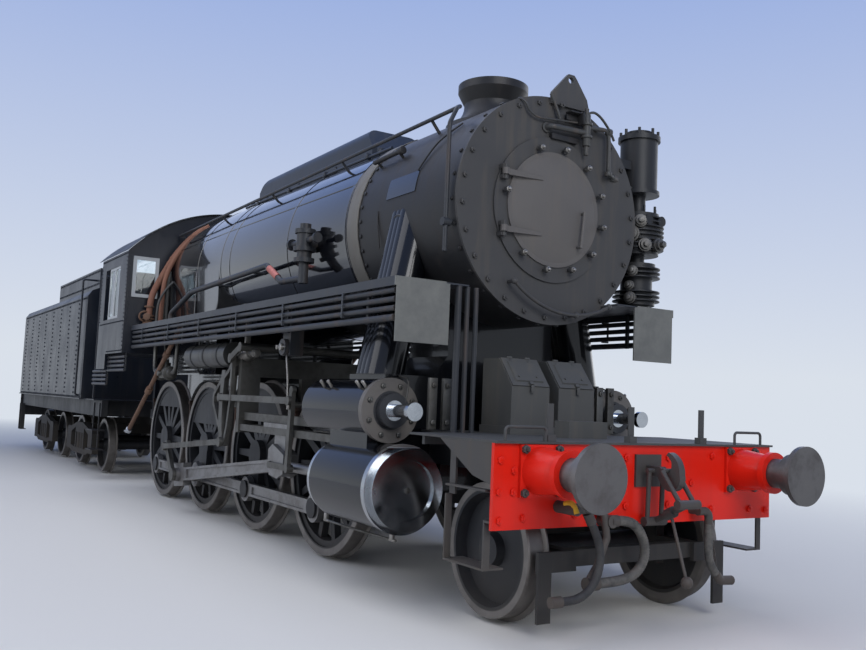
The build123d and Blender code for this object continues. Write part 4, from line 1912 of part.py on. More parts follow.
def bogie(centre):
    """A bogie frame about its centre, without its wheels."""
    with BuildPart() as frame:
        back = centre - HALF_BASE
        front = centre + HALF_BASE
        with BuildSketch(Plane.XZ.offset(BOGIE_SIDE[0])):
            with BuildLine():
                Polyline(
                    (back - BOX_HALF, BOX_BOTTOM),
                    (back + BOX_HALF, BOX_BOTTOM),
                    (back + BOX_HALF + 160, ARCH_LOW),
                    (front - BOX_HALF - 160, ARCH_LOW),
                    (front - BOX_HALF, BOX_BOTTOM),
                    (front + BOX_HALF, BOX_BOTTOM),
                    (front + BOX_HALF, BOX_TOP),
                    (front + BOX_HALF - 60, BOX_TOP + 60),
                    (front - BOX_HALF, BOX_TOP + 60),
                    (centre + 230, ARCH_TOP),
                    (centre - 230, ARCH_TOP),
                    (back + BOX_HALF, BOX_TOP + 60),
                    (back - BOX_HALF + 60, BOX_TOP + 60),
                    (back - BOX_HALF, BOX_TOP),
                    close=True,
                )
            make_face()
            for window in (-1, 1):
                with BuildLine():
                    Polyline(
                        (centre + window * (HALF_BASE - BOX_HALF - 40), BOX_BOTTOM + 60),
                        (centre + window * 330, ARCH_LOW + 80),
                        (centre + window * 330, ARCH_TOP - 90),
                        (centre + window * (HALF_BASE - BOX_HALF - 40), BOX_TOP - 30),
                        close=True,
                    )
                make_face(mode=Mode.SUBTRACT)
            with Locations((centre, (SPRING_Z[0] + SPRING_Z[1]) / 2)):
                Rectangle(2 * SPRING_X + 160, SPRING_Z[1] - SPRING_Z[0], mode=Mode.SUBTRACT)
        extrude(amount=BOGIE_SIDE[1] - BOGIE_SIDE[0])
        for spring in (-1, 1):
            low = (centre + spring * SPRING_X / 1.6, -(BOGIE_SIDE[0] + 45), SPRING_Z[0] - 5)
            high = (low[0], low[1], SPRING_Z[1] + 5)
            drum(low, high, 62)
            drum((low[0] + spring * 130, low[1], low[2]), (high[0] + spring * 130, high[1], high[2]), 40)
        mirror(about=Plane.XZ)
        for axle in (back, front):
            for side in (-1, 1):
                journal_in = (axle, side * (BOGIE_SIDE[0] - 10), SMALL_AXLE_Z)
                journal_out = (axle, side * (JOURNAL_END + RUNNING_GAP), SMALL_AXLE_Z)
                drum(journal_in, journal_out, JOURNAL_RADIUS + RUNNING_GAP, Mode.SUBTRACT)
        block(
            (centre - 170, centre + 170),
            (-BOGIE_SIDE[0] - 10, BOGIE_SIDE[0] + 10),
            (SPRING_Z[1], ARCH_TOP - 10),
        )
        drum((centre, 0, ARCH_TOP - 10), (centre, 0, BOGIE_PIVOT_TOP - SEAT_GAP), 170)
    return frame.part


with BuildPart() as bogie_frame_front:
    add(bogie(BOGIE_FRONT_X))
bogie_frame_front.part.label = "bogie_frame_front"
export_step(bogie_frame_front.part, "parts/bogie_frame_front.step")

with BuildPart() as bogie_frame_rear:
    add(bogie(BOGIE_REAR_X))
bogie_frame_rear.part.label = "bogie_frame_rear"
export_step(bogie_frame_rear.part, "parts/bogie_frame_rear.step")

# Tender underframe: solebars, drag box, drawbar, rear beam and the steps below it
SOLEBAR_THICK = 90
STEP_IRON_X = TENDER_BEAM_X + 60
STEP_FOOT = 417
with BuildPart() as tender_frame:
    rear = TENDER_BEAM_X + BEAM_THICK
    for side in (-1, 1):
        outside = side * SOLEBAR_HALF
        block(
            (rear, SOLEBAR_FRONT_X),
            (outside - side * SOLEBAR_THICK, outside),
            (SOLEBAR_BOTTOM, TANK_BOTTOM),
        )
        block((rear, TANK_FRONT_X + 80), (side * 380, side * 460), (SOLEBAR_BOTTOM, TANK_BOTTOM))
        for iron in (STEP_IRON_X, STEP_IRON_X + 260):
            block((iron, iron + 12), (side * 1130, side * 1210), (STEP_FOOT, SOLEBAR_BOTTOM + 30))
        block((STEP_IRON_X, STEP_IRON_X + 272), (side * 1090, side * 1210), (STEP_FOOT - 12, STEP_FOOT))
    for cross in (TANK_FRONT_X + 40, BOGIE_FRONT_X, (BOGIE_FRONT_X + BOGIE_REAR_X) / 2, BOGIE_REAR_X):
        block((cross - 190, cross + 190), (-SOLEBAR_HALF, SOLEBAR_HALF), (SOLEBAR_BOTTOM, TANK_BOTTOM))
    block((TENDER_BEAM_X, rear), (-BEAM_HALF_WIDTH, BEAM_HALF_WIDTH), (BEAM_BOTTOM + 60, TANK_BOTTOM))
    block((TENDER_BEAM_X - 10, rear + 10), (-60, 60), (900, 1060), Mode.SUBTRACT)
    for centre in (BOGIE_FRONT_X, BOGIE_REAR_X):
        drum((centre, 0, BOGIE_PIVOT_TOP), (centre, 0, SOLEBAR_BOTTOM + 5), 170)
    block((DRAWBAR_X, TANK_FRONT_X + 100), (-110, 110), (1030, 1080))
    drum((DRAWBAR_X, 0, 1030), (DRAWBAR_X, 0, 1080), 130)
    drum((DRAWBAR_X, 0, 1020), (DRAWBAR_X, 0, 1090), 45 + RUNNING_GAP, Mode.SUBTRACT)
tender_frame.part.label = "tender_frame"
export_step(tender_frame.part, "parts/tender_frame.step")

# Water tank with a sloping coping, and the raised coal bunker at its front
COAL_FLOOR = 1700
COAL_WALL = 12
COAL_SLOPE_X = -2600
FILLER_X = -6900
FILLER_RISE = 60
FILLER_RADIUS = 260
with BuildPart() as tender_tank:
    with BuildSketch(Plane.YZ.offset(TANK_BACK_X)):
        with BuildLine():
            Polyline(
                (0, TANK_BOTTOM),
                (TANK_HALF, TANK_BOTTOM),
                (TANK_HALF, TANK_SIDE_TOP),
                (TANK_HALF - COPING_SLOPE * 0.35, TANK_SIDE_TOP + 90),
                (TANK_HALF - COPING_SLOPE, TANK_TOP),
                (0, TANK_TOP),
                close=True,
            )
        make_face()
        mirror(about=Plane.YZ)
    extrude(amount=TANK_FRONT_X - TANK_BACK_X)
    block((TANK_BACK_X, TANK_FRONT_X), (-TANK_HALF - 20, TANK_HALF + 20), (TANK_BOTTOM, TANK_BOTTOM + 16))
    block((BUNKER_BACK_X, TANK_FRONT_X), (-BUNKER_HALF, BUNKER_HALF), (TANK_TOP - 200, BUNKER_TOP))
    with BuildSketch(Plane.XZ.offset(-BUNKER_HALF + COAL_WALL)):
        with BuildLine():
            Polyline(
                (TANK_FRONT_X - COAL_WALL, COAL_FLOOR),
                (TANK_FRONT_X - COAL_WALL, BUNKER_TOP + 1),
                (BUNKER_BACK_X + COAL_WALL, BUNKER_TOP + 1),
                (BUNKER_BACK_X + COAL_WALL, TANK_TOP - 100),
                (COAL_SLOPE_X, COAL_FLOOR),
                close=True,
            )
        make_face()
    extrude(amount=2 * (BUNKER_HALF - COAL_WALL), mode=Mode.SUBTRACT)
    drum((FILLER_X, 0, TANK_TOP - 10), (FILLER_X, 0, TANK_TOP + FILLER_RISE), FILLER_RADIUS)
    drum(
        (FILLER_X, 0, TANK_TOP - 300),
        (FILLER_X, 0, TANK_TOP + FILLER_RISE + 1),
        FILLER_RADIUS - 20,
        Mode.SUBTRACT,
    )
tender_tank.part.label = "tender_tank"
export_step(tender_tank.part, "parts/tender_tank.step")

# Filler lid, hinged at its rear edge
LID_BASE = TANK_TOP + FILLER_RISE + SEAT_GAP
FILLER_LID_THICK = 14
with BuildPart() as filler_lid:
    drum((FILLER_X, 0, LID_BASE), (FILLER_X, 0, LID_BASE + FILLER_LID_THICK), FILLER_RADIUS + 10)
    block((FILLER_X - 330, FILLER_X - 240), (-50, 50), (LID_BASE, LID_BASE + FILLER_LID_THICK))
filler_lid.part.label = "filler_lid"
export_step(filler_lid.part, "parts/filler_lid.step")

# Tender fittings: rear ladder, the hooked hand rails of the front corners and the front steps
LADDER_HALF = 250
LADDER_OUT = 60
LADDER_FOOT = 180
RUNG_PITCH = 280
RUNG_COUNT = 5
CORNER_RAIL_Y = TANK_HALF + 45
CORNER_RAIL_X = -2050
CORNER_RAIL_Z = (1230, 3050)
CAB_END_RAIL_X = -1280
CAB_END_RAIL_Y = 1240
FRONT_STEP_X = (-1560, -1180)
FRONT_STEP_Z = (430, 720)
with BuildPart() as tender_fittings:
    ladder_x = TANK_BACK_X - LADDER_OUT
    for rail_y in (-LADDER_HALF, LADDER_HALF):
        drum((ladder_x, rail_y, TANK_BOTTOM), (ladder_x, rail_y, TANK_TOP), 14)
        drum((ladder_x, rail_y, TANK_TOP - 180), (TANK_BACK_X, rail_y, TANK_TOP - 180), 14)
    for rung in range(RUNG_COUNT):
        level = TANK_BOTTOM + LADDER_FOOT + rung * RUNG_PITCH
        drum((ladder_x, -LADDER_HALF, level), (ladder_x, LADDER_HALF, level), 11)
    block(
        (TANK_BACK_X - 120, TANK_BACK_X),
        (-LADDER_HALF - 50, LADDER_HALF + 50),
        (TANK_BOTTOM - 14, TANK_BOTTOM),
    )
    for side in (-1, 1):
        # Rail on the tank side, bent in to the bunker at its head and to the side at its foot
        rail = [
            (CORNER_RAIL_X, side * TANK_HALF, CORNER_RAIL_Z[0]),
            (CORNER_RAIL_X, side * CORNER_RAIL_Y, CORNER_RAIL_Z[0]),
            (CORNER_RAIL_X, side * CORNER_RAIL_Y, CORNER_RAIL_Z[1]),
            (CORNER_RAIL_X, side * BUNKER_HALF, CORNER_RAIL_Z[1]),
        ]
        add(pipe(rail, 15, 40))
        # Floor ahead of the tank, with the rail that stands on its corner
        block((TANK_FRONT_X, SOLEBAR_FRONT_X), (0, side * (TANK_HALF - 40)), (TANK_BOTTOM, TANK_BOTTOM + 14))
        rail = [
            (CAB_END_RAIL_X, side * CAB_END_RAIL_Y, TANK_BOTTOM + 14),
            (CAB_END_RAIL_X, side * CAB_END_RAIL_Y, CORNER_RAIL_Z[1]),
            (CAB_END_RAIL_X - 100, side * (BUNKER_HALF - 30), CORNER_RAIL_Z[1]),
            (TANK_FRONT_X, side * (BUNKER_HALF - 30), CORNER_RAIL_Z[1]),
        ]
        add(pipe(rail, 15, 45))
        # Step iron hung from the solebar's front end
        for level in FRONT_STEP_Z:
            block(FRONT_STEP_X, (side * 1060, side * 1250), (level, level + 14))
        for edge in (FRONT_STEP_X[0], FRONT_STEP_X[1] - 14):
            block((edge, edge + 14), (side * 1150.3, side * 1165), (FRONT_STEP_Z[0], TANK_BOTTOM - 40))
tender_fittings.part.label = "tender_fittings"
export_step(tender_fittings.part, "parts/tender_fittings.step")

with BuildPart() as rear_buffers:
    add(buffer_stock(TENDER_BEAM_X, -1))
    add(buffer_head(-BUFFER_FACE, -1, TENDER_BEAM_X - STOCK_LENGTH))
    add(draw_hook(TENDER_BEAM_X, -1))
rear_buffers.part.label = "rear_buffers"
export_step(rear_buffers.part, "parts/rear_buffers.step")
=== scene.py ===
"""Looks of an eight coupled goods engine and its tender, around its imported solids, in metres.

X runs forward, Y to the left and Z up from the wheel flange tips.
"""
import math

import bmesh
import bpy
from mathutils import Matrix, Vector


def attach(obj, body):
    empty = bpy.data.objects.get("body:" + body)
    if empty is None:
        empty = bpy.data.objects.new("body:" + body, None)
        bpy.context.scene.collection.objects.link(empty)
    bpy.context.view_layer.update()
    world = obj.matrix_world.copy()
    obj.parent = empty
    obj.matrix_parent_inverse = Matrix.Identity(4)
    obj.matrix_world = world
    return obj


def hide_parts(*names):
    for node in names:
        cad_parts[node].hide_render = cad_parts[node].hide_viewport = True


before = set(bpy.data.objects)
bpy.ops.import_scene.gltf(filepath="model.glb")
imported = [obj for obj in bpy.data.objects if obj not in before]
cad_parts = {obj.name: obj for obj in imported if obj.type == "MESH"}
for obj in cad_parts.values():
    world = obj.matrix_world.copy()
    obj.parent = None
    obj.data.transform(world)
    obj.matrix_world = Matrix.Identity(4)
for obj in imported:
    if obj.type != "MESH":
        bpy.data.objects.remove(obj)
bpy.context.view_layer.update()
scene = bpy.context.scene
scene.view_settings.view_transform = "Standard"

# Camera
# Stands low on the right, ahead of the buffers, looking back and a little up along the engine. Its
# place, turn and lens are a fit of the wheels, buffers and smokebox circles to the photograph.
CAMERA_PLACE = Vector((12.88, -4.228, 1.35))
CAMERA_YAW = math.radians(32.257)
CAMERA_PITCH = math.radians(4.883)
CAMERA_ROLL = math.radians(2.419)
CAMERA_LENS = 37.55
camera_data = bpy.data.cameras.new("camera")
camera_data.sensor_width = 36
camera_data.sensor_fit = "HORIZONTAL"
camera_data.lens = CAMERA_LENS
camera_data.clip_end = 200
camera = bpy.data.objects.new("camera", camera_data)
scene.collection.objects.link(camera)
level = math.cos(CAMERA_PITCH)
ahead = Vector((-math.cos(CAMERA_YAW) * level, math.sin(CAMERA_YAW) * level, math.sin(CAMERA_PITCH)))
across = Vector((math.sin(CAMERA_YAW), math.cos(CAMERA_YAW), 0))
upward = across.cross(ahead)
right = across * math.cos(CAMERA_ROLL) + upward * math.sin(CAMERA_ROLL)
top = upward * math.cos(CAMERA_ROLL) - across * math.sin(CAMERA_ROLL)
camera.matrix_world = Matrix(
    ((right.x, top.x, -ahead.x, CAMERA_PLACE.x),
     (right.y, top.y, -ahead.y, CAMERA_PLACE.y),
     (right.z, top.z, -ahead.z, CAMERA_PLACE.z),
     (0, 0, 0, 1))
)
scene.camera = camera


# Front hoses
# Rubber hoses with cloth and wire wound in the wall, moulded and vulcanised. They are dull, grey with
# dust, and ribbed. One carries steam for heating, two are for the brakes.
def colour(hex_value):
    """An sRGB hex value as a linear colour."""
    parts = [int(hex_value[place:place + 2], 16) / 255 for place in (0, 2, 4)]
    linear = [part / 12.92 if part <= 0.04045 else ((part + 0.055) / 1.055) ** 2.4 for part in parts]
    return linear + [1]


def feed(tree, fed, sockets):
    """Gives a node's sockets their values, or links them to a socket or to a node's first result."""
    for name, value in sockets.items():
        if isinstance(value, bpy.types.Node):
            value = next(result for result in value.outputs if result.enabled)
        if isinstance(value, bpy.types.NodeSocket):
            tree.links.new(value, fed.inputs[name])
        else:
            fed.inputs[name].default_value = value


def node(tree, kind, sockets, **settings):
    """Adds a shader node, with its settings, and feeds its sockets."""
    made = tree.nodes.new("ShaderNode" + kind)
    for name, value in settings.items():
        setattr(made, name, value)
    feed(tree, made, sockets)
    return made


def layers(made):
    """The nodes of a material, its shader, and the place on the piece in metres."""
    tree = made.node_tree
    return tree, tree.nodes["Principled BSDF"], node(tree, "TexCoord", {}).outputs["Object"]


def new_finish(name):
    """A new material and its layers."""
    made = bpy.data.materials.new(name)
    made.use_nodes = True
    return made, *layers(made)


def rubber(name, clean, dusty):
    """Moulded rubber, dull, with pale dust in patches and a fine grain of the mould."""
    made, tree, shader, where = new_finish(name)
    dust = node(tree, "TexNoise", {"Vector": where, "Scale": 14.0, "Detail": 6.0, "Roughness": 0.7})
    spread = node(tree, "MapRange", {"Value": dust, "From Min": 0.35, "From Max": 0.7})
    surface = node(tree, "Mix", {0: spread, 6: colour(clean), 7: colour(dusty)}, data_type="RGBA")
    grain = node(tree, "TexNoise", {"Vector": where, "Scale": 220.0, "Detail": 2.0})
    relief = node(tree, "Bump", {"Height": grain, "Distance": 0.0006, "Strength": 0.6})
    feed(tree, shader, {"Base Color": surface, "Roughness": 0.72, "Normal": relief})
    return made


HOSE_SIDES = 14
# name, x, diameter, depth of rib, pitch of ribs, and the route's points across and up
STEAM_HOSE = ("hose_steam", 8.85, 0.062, 0.0045, 0.0165, (
    (-0.322, 0.688), (-0.242, 0.688), (-0.165, 0.656), (-0.11, 0.592), (-0.08, 0.51), (-0.096, 0.43),
    (-0.152, 0.372), (-0.232, 0.343), (-0.315, 0.333), (-0.393, 0.33), (-0.47, 0.33)))
BRAKE_HOSE = ("hose_brake", 8.925, 0.05, 0.0008, 0.03, (
    (-0.592, 0.691), (-0.55, 0.62), (-0.522, 0.54), (-0.52, 0.455), (-0.546, 0.374), (-0.6, 0.31),
    (-0.676, 0.274), (-0.745, 0.266), (-0.81, 0.266)))
LEFT_HOSE = ("hose_left_side", 8.85, 0.056, 0.0028, 0.014, (
    (0.484, 0.64), (0.484, 0.55), (0.487, 0.46), (0.505, 0.38), (0.56, 0.32)))


def smooth_line(name, points, steps):
    """A line that bends smoothly past these points, from the first to the last."""
    data = bpy.data.curves.new(name, "CURVE")
    data.dimensions = "3D"
    data.resolution_u = steps
    spline = data.splines.new("NURBS")
    spline.points.add(len(points) - 1)
    for point, place in zip(spline.points, points):
        point.co = (*place, 1)
    spline.order_u = min(3, len(points))
    spline.use_endpoint_u = True
    line = bpy.data.objects.new(name, data)
    scene.collection.objects.link(line)
    return line


def hose(name, x, diameter, rib, pitch, route, finish):
    """A ribbed hose along the smooth line of its route: rings of alternate radius, closed at both ends."""
    line = smooth_line(name + "_line", [(x, y, z) for y, z in route], 32)
    bpy.context.view_layer.update()
    drawn = bpy.data.meshes.new_from_object(line)
    path = [vertex.co.copy() for vertex in drawn.vertices]
    bpy.data.objects.remove(line)
    bpy.data.meshes.remove(drawn)
    steps = [(b - a).length for a, b in zip(path, path[1:])]
    length = sum(steps)
    rings = 2 * round(length / pitch)
    work = bmesh.new()
    loops = []
    passed, piece = 0.0, 0
    for ring in range(rings + 1):
        wanted = length * ring / rings
        while piece < len(steps) - 1 and passed + steps[piece] < wanted:
            passed += steps[piece]
            piece += 1
        centre = path[piece].lerp(path[piece + 1], min(1.0, (wanted - passed) / steps[piece]))
        along = (path[min(piece + 2, len(path) - 1)] - path[max(piece - 1, 0)]).normalized()
        side = along.cross(Vector((1, 0, 0))).normalized()
        radius = diameter / 2 - (rib if ring % 2 else 0)
        turns = [2 * math.pi * number / HOSE_SIDES for number in range(HOSE_SIDES)]
        loops.append([
            work.verts.new(centre + radius * (side * math.cos(turn) + Vector((1, 0, 0)) * math.sin(turn)))
            for turn in turns
        ])
    for first, second in zip(loops, loops[1:]):
        for number in range(HOSE_SIDES):
            following = (number + 1) % HOSE_SIDES
            work.faces.new((first[number], first[following], second[following], second[number]))
    work.faces.new(reversed(loops[0]))
    work.faces.new(loops[-1])
    bmesh.ops.recalc_face_normals(work, faces=work.faces)
    mesh = bpy.data.meshes.new(name + "_ribbed")
    work.to_mesh(mesh)
    work.free()
    for face in mesh.polygons:
        face.use_smooth = len(face.vertices) == 4
    made = bpy.data.objects.new(name + "_ribbed", mesh)
    scene.collection.objects.link(made)
    mesh.materials.append(finish)
    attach(made, "engine")
    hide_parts(name)
    return made


dusty_rubber = rubber("dusty_moulded_rubber", "3B3A39", "68655F")
black_rubber = rubber("black_moulded_rubber", "1E1E1F", "3A3938")
hose(*STEAM_HOSE, dusty_rubber)
hose(*BRAKE_HOSE, black_rubber)
hose(*LEFT_HOSE, dusty_rubber)


# Floor, lamps and sky
# A pale matt floor, broad soft lamps, and a sky that is pale low down and blue above. Away from the
# engine the floor goes over into the horizon's colour.
def deselect():
    bpy.ops.object.select_all(action="DESELECT")


FLOOR_HALF = 60
HORIZON, ZENITH = "D9E0EA", "7496DC"
deselect()
bpy.ops.mesh.primitive_plane_add(size=2 * FLOOR_HALF)
floor = bpy.context.object
floor.name = "floor"
floor_paint, tree, shader, where = new_finish("matt_floor_paint")
feed(tree, shader, {"Base Color": colour("D8D6D1"), "Roughness": 0.9})
drawn_in = node(tree, "Mapping", {"Vector": where, "Scale": (0.45, 1.0, 1.0)})
reach = node(tree, "VectorMath", {0: drawn_in}, operation="LENGTH").outputs["Value"]
far = node(tree, "MapRange", {"Value": reach, "From Min": 4.5, "From Max": 12.0})
pale = node(tree, "Emission", {"Color": colour(HORIZON), "Strength": 1.0})
faded_floor = node(tree, "MixShader", {0: far, 1: shader, 2: pale})
feed(tree, tree.nodes["Material Output"], {"Surface": faded_floor})
floor.data.materials.append(floor_paint)

LAMPS = (
    # name, place, size, watts
    ("overhead_lamp", (2.0, -3.0, 13.0), 14.0, 900),
    ("front_lamp", (19.0, -3.0, 8.0), 7.0, 1000),
    ("right_lamp", (3.0, -16.0, 7.0), 12.0, 900),
    ("left_lamp", (3.0, 16.0, 7.0), 12.0, 600),
)
LAMPS_AIM = Vector((2.0, 0.0, 1.5))
for name, place, size, watts in LAMPS:
    lamp_data = bpy.data.lights.new(name, "AREA")
    lamp_data.size = size
    lamp_data.energy = watts
    lamp = bpy.data.objects.new(name, lamp_data)
    scene.collection.objects.link(lamp)
    lamp.location = place
    lamp.rotation_euler = (LAMPS_AIM - Vector(place)).to_track_quat("-Z", "Y").to_euler()

world = bpy.data.worlds.new("sky")
scene.world = world
world.use_nodes = True
sky = world.node_tree
sky.nodes.clear()
where = node(sky, "TexCoord", {}).outputs["Generated"]
height = node(sky, "SeparateXYZ", {"Vector": where}).outputs["Z"]
climb = node(sky, "MapRange", {"Value": height, "From Min": 0.04, "From Max": 0.6})
tint = node(sky, "Mix", {0: climb, 6: colour(HORIZON), 7: colour(ZENITH)}, data_type="RGBA")
shaded = node(sky, "Background", {"Color": tint, "Strength": 0.5})
seen = node(sky, "Background", {"Color": tint, "Strength": 1.0})
ray = node(sky, "LightPath", {}).outputs
shown = node(sky, "Math", {0: ray["Is Camera Ray"], 1: ray["Is Glossy Ray"]}, operation="MAXIMUM")
shown = node(sky, "Math", {0: shown, 1: ray["Is Transmission Ray"]}, operation="MAXIMUM")
sky_mix = node(sky, "MixShader", {0: shown, 1: shaded, 2: seen})
node(sky, "OutputWorld", {"Surface": sky_mix})


# Frames and running gear
# Bar frames, springs, brackets and steps, brushed with black oil paint that has gone dull and dusty.
# It gives a soft grey sheen on top and brown dust low down.
def enamel(
    name, coat, faded, grime, roughness, grime_level=0.35, grime_height=1.0, grain=0.0006, varnish=0.0,
):
    """Brushed enamel over steel: patchy colour, rising dust, runs below edges, a faint brush grain."""
    made, tree, shader, where = new_finish(name)
    patches = node(tree, "TexNoise", {"Vector": where, "Scale": 2.2, "Detail": 6.0, "Roughness": 0.6})
    fade = node(tree, "Mix", {0: patches, 6: colour(coat), 7: colour(faded)}, data_type="RGBA")
    stretched = node(tree, "Mapping", {"Vector": where, "Scale": (14.0, 14.0, 1.4)})
    runs = node(tree, "TexNoise", {"Vector": stretched, "Scale": 1.0, "Detail": 5.0})
    height = node(tree, "SeparateXYZ", {"Vector": where}).outputs["Z"]
    rise = node(tree, "MapRange", {"Value": height, "From Min": grime_height, "From Max": 0.0, "To Max": 0.5})
    speck = node(tree, "MapRange", {"Value": runs, "From Min": 0.52, "From Max": 0.8, "To Max": grime_level})
    dirt = node(tree, "Math", {0: rise, 1: speck}, operation="ADD", use_clamp=True)
    surface = node(tree, "Mix", {0: dirt, 6: fade, 7: colour(grime)}, data_type="RGBA")
    gloss = node(
        tree, "MapRange",
        {"Value": patches, "From Min": 0.3, "From Max": 0.7,
         "To Min": roughness - 0.04, "To Max": roughness + 0.08},
    )
    dull = node(tree, "Math", {0: dirt, 1: 0.45, 2: gloss}, operation="MULTIPLY_ADD", use_clamp=True)
    fine = node(tree, "TexNoise", {"Vector": where, "Scale": 60.0, "Detail": 4.0})
    relief = node(tree, "Bump", {"Height": fine, "Distance": grain, "Strength": 0.5})
    feed(tree, shader, {
        "Base Color": surface, "Roughness": dull, "Normal": relief,
        "Specular IOR Level": 0.25, "Coat Weight": varnish, "Coat Roughness": 0.04,
    })
    return made


def dress(material, *names):
    """Gives CAD nodes their finish."""
    for name in names:
        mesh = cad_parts[name].data
        mesh.materials.clear()
        mesh.materials.append(material)


frame_black = enamel("brushed_black_oil_paint", "1B1C1E", "2A2B2D", "4A4641", 0.45)
dress(frame_black, "main_frames", "pony_frame", "tender_frame", "rear_buffers")
spring_black = enamel("oiled_spring_steel", "131314", "202020", "3E342B", 0.38)
dress(spring_black, "spring_gear")


# Rods and valve gear
# Forged, then machined on faces and pins, and kept under a film of old oil, so the steel looks grey
# rather than bright, and browner in the corners.
def machined(name, steel, stain, roughness, stain_level, grain=0.0003):
    """Machined steel with an oil film: fine tool marks and brown stains in patches."""
    made, tree, shader, where = new_finish(name)
    patches = node(tree, "TexNoise", {"Vector": where, "Scale": 5.0, "Detail": 8.0, "Roughness": 0.65})
    spread = node(
        tree, "MapRange", {"Value": patches, "From Min": 0.45, "From Max": 0.75, "To Max": stain_level},
    )
    surface = node(tree, "Mix", {0: spread, 6: colour(steel), 7: colour(stain)}, data_type="RGBA")
    dull = node(
        tree, "MapRange",
        {"Value": patches, "From Min": 0.3, "From Max": 0.75,
         "To Min": roughness - 0.05, "To Max": roughness + 0.25},
    )
    lines = node(tree, "Mapping", {"Vector": where, "Scale": (6.0, 60.0, 160.0)})
    marks = node(tree, "TexNoise", {"Vector": lines, "Scale": 2.0, "Detail": 3.0})
    relief = node(tree, "Bump", {"Height": marks, "Distance": grain, "Strength": 0.6})
    feed(tree, shader, {"Base Color": surface, "Roughness": dull, "Normal": relief, "Metallic": 1.0})
    return made


rod_steel = machined("oiled_machined_steel", "858483", "54493F", 0.4, 0.5)
dress(rod_steel, "crossheads", "connecting_rods", "coupling_rod_right", "coupling_rod_left")
gear_steel = machined("dull_forged_steel", "64635F", "3C352F", 0.48, 0.6)
dress(gear_steel, "slide_bars", "valve_gear")


# Wheels and brakes
# Cast steel centres in satin black, with rolled steel tyres shrunk on and worn grey on tread and
# face. The brake blocks are bare cast iron, rusty all over.
def wheel_enamel(name, x, z, tyre_from):
    """Satin wheel paint round one axle, which gives way to worn steel beyond the tyre's inner edge."""
    made = enamel(name, "1C1D20", "2A2B2E", "45413C", 0.42, 0.25, 0.5)
    tree, shader, where = layers(made)
    centred = node(
        tree, "Mapping", {"Vector": where, "Location": (-x, 0.0, -z), "Scale": (1.0, 0.0, 1.0)},
    )
    reach = node(tree, "VectorMath", {0: centred}, operation="LENGTH").outputs["Value"]
    tyre = node(
        tree, "MapRange", {"Value": reach, "From Min": tyre_from - 0.004, "From Max": tyre_from + 0.004},
    )
    worn = node(tree, "TexNoise", {"Vector": where, "Scale": 9.0, "Detail": 6.0})
    steel = node(tree, "Mix", {0: worn, 6: colour("5A5754"), 7: colour("8A8580")}, data_type="RGBA")
    painted = shader.inputs["Base Color"].links[0].from_socket
    surface = node(tree, "Mix", {0: tyre, 6: painted, 7: steel}, data_type="RGBA")
    metal = node(tree, "Math", {0: tyre, 1: 0.85}, operation="MULTIPLY")
    feed(tree, shader, {"Base Color": surface, "Metallic": metal})
    return made


DRIVER_Z, SMALL_Z = 0.752, 0.447
for number, x in enumerate((5.86, 4.285, 2.71, 1.135), 1):
    dress(wheel_enamel(f"satin_wheel_enamel_{number}", x, DRIVER_Z, 0.664), f"driving_wheels_{number}")
dress(wheel_enamel("satin_truck_wheel_enamel", 8.222, SMALL_Z, 0.372), "pony_wheels")
for number, x in enumerate((-2.332, -4.059, -5.786, -7.512), 1):
    dress(wheel_enamel(f"satin_tender_wheel_enamel_{number}", x, SMALL_Z, 0.372), f"tender_wheels_{number}")
brake_rust = enamel("rusty_cast_iron", "2E2521", "3D2F28", "6B4A33", 0.75, 0.5, 0.5)
dress(brake_rust, "brake_gear")
bogie_dust = enamel("dusty_cast_steel", "201F1E", "2E2C2A", "524B43", 0.6, 0.4, 0.8)
dress(bogie_dust, "bogie_frame_front", "bogie_frame_rear")

# Cylinders
# Iron castings clothed in gloss black sheet, with polished steel covers at the ends. The valve
# chest's cover above is painted, and the end of its rod is bare.
clothing_black = enamel(
    "gloss_black_cylinder_clothing", "0A0B0F", "101216", "332D28", 0.14, 0.12, 0.2, 0.0002, 0.3,
)
dress(clothing_black, "cylinders", "steam_pipes")
cover_steel = machined("polished_cover_steel", "B4B8BC", "6E6A66", 0.08, 0.25, 0.0001)
CYLINDER_Y, CYLINDER_Z, CHEST_Z = 1.06, 0.752, 1.28
TAIL_ROD_FINISH_RADIUS, CHEST_BOSS_RADIUS = 0.07, 0.135


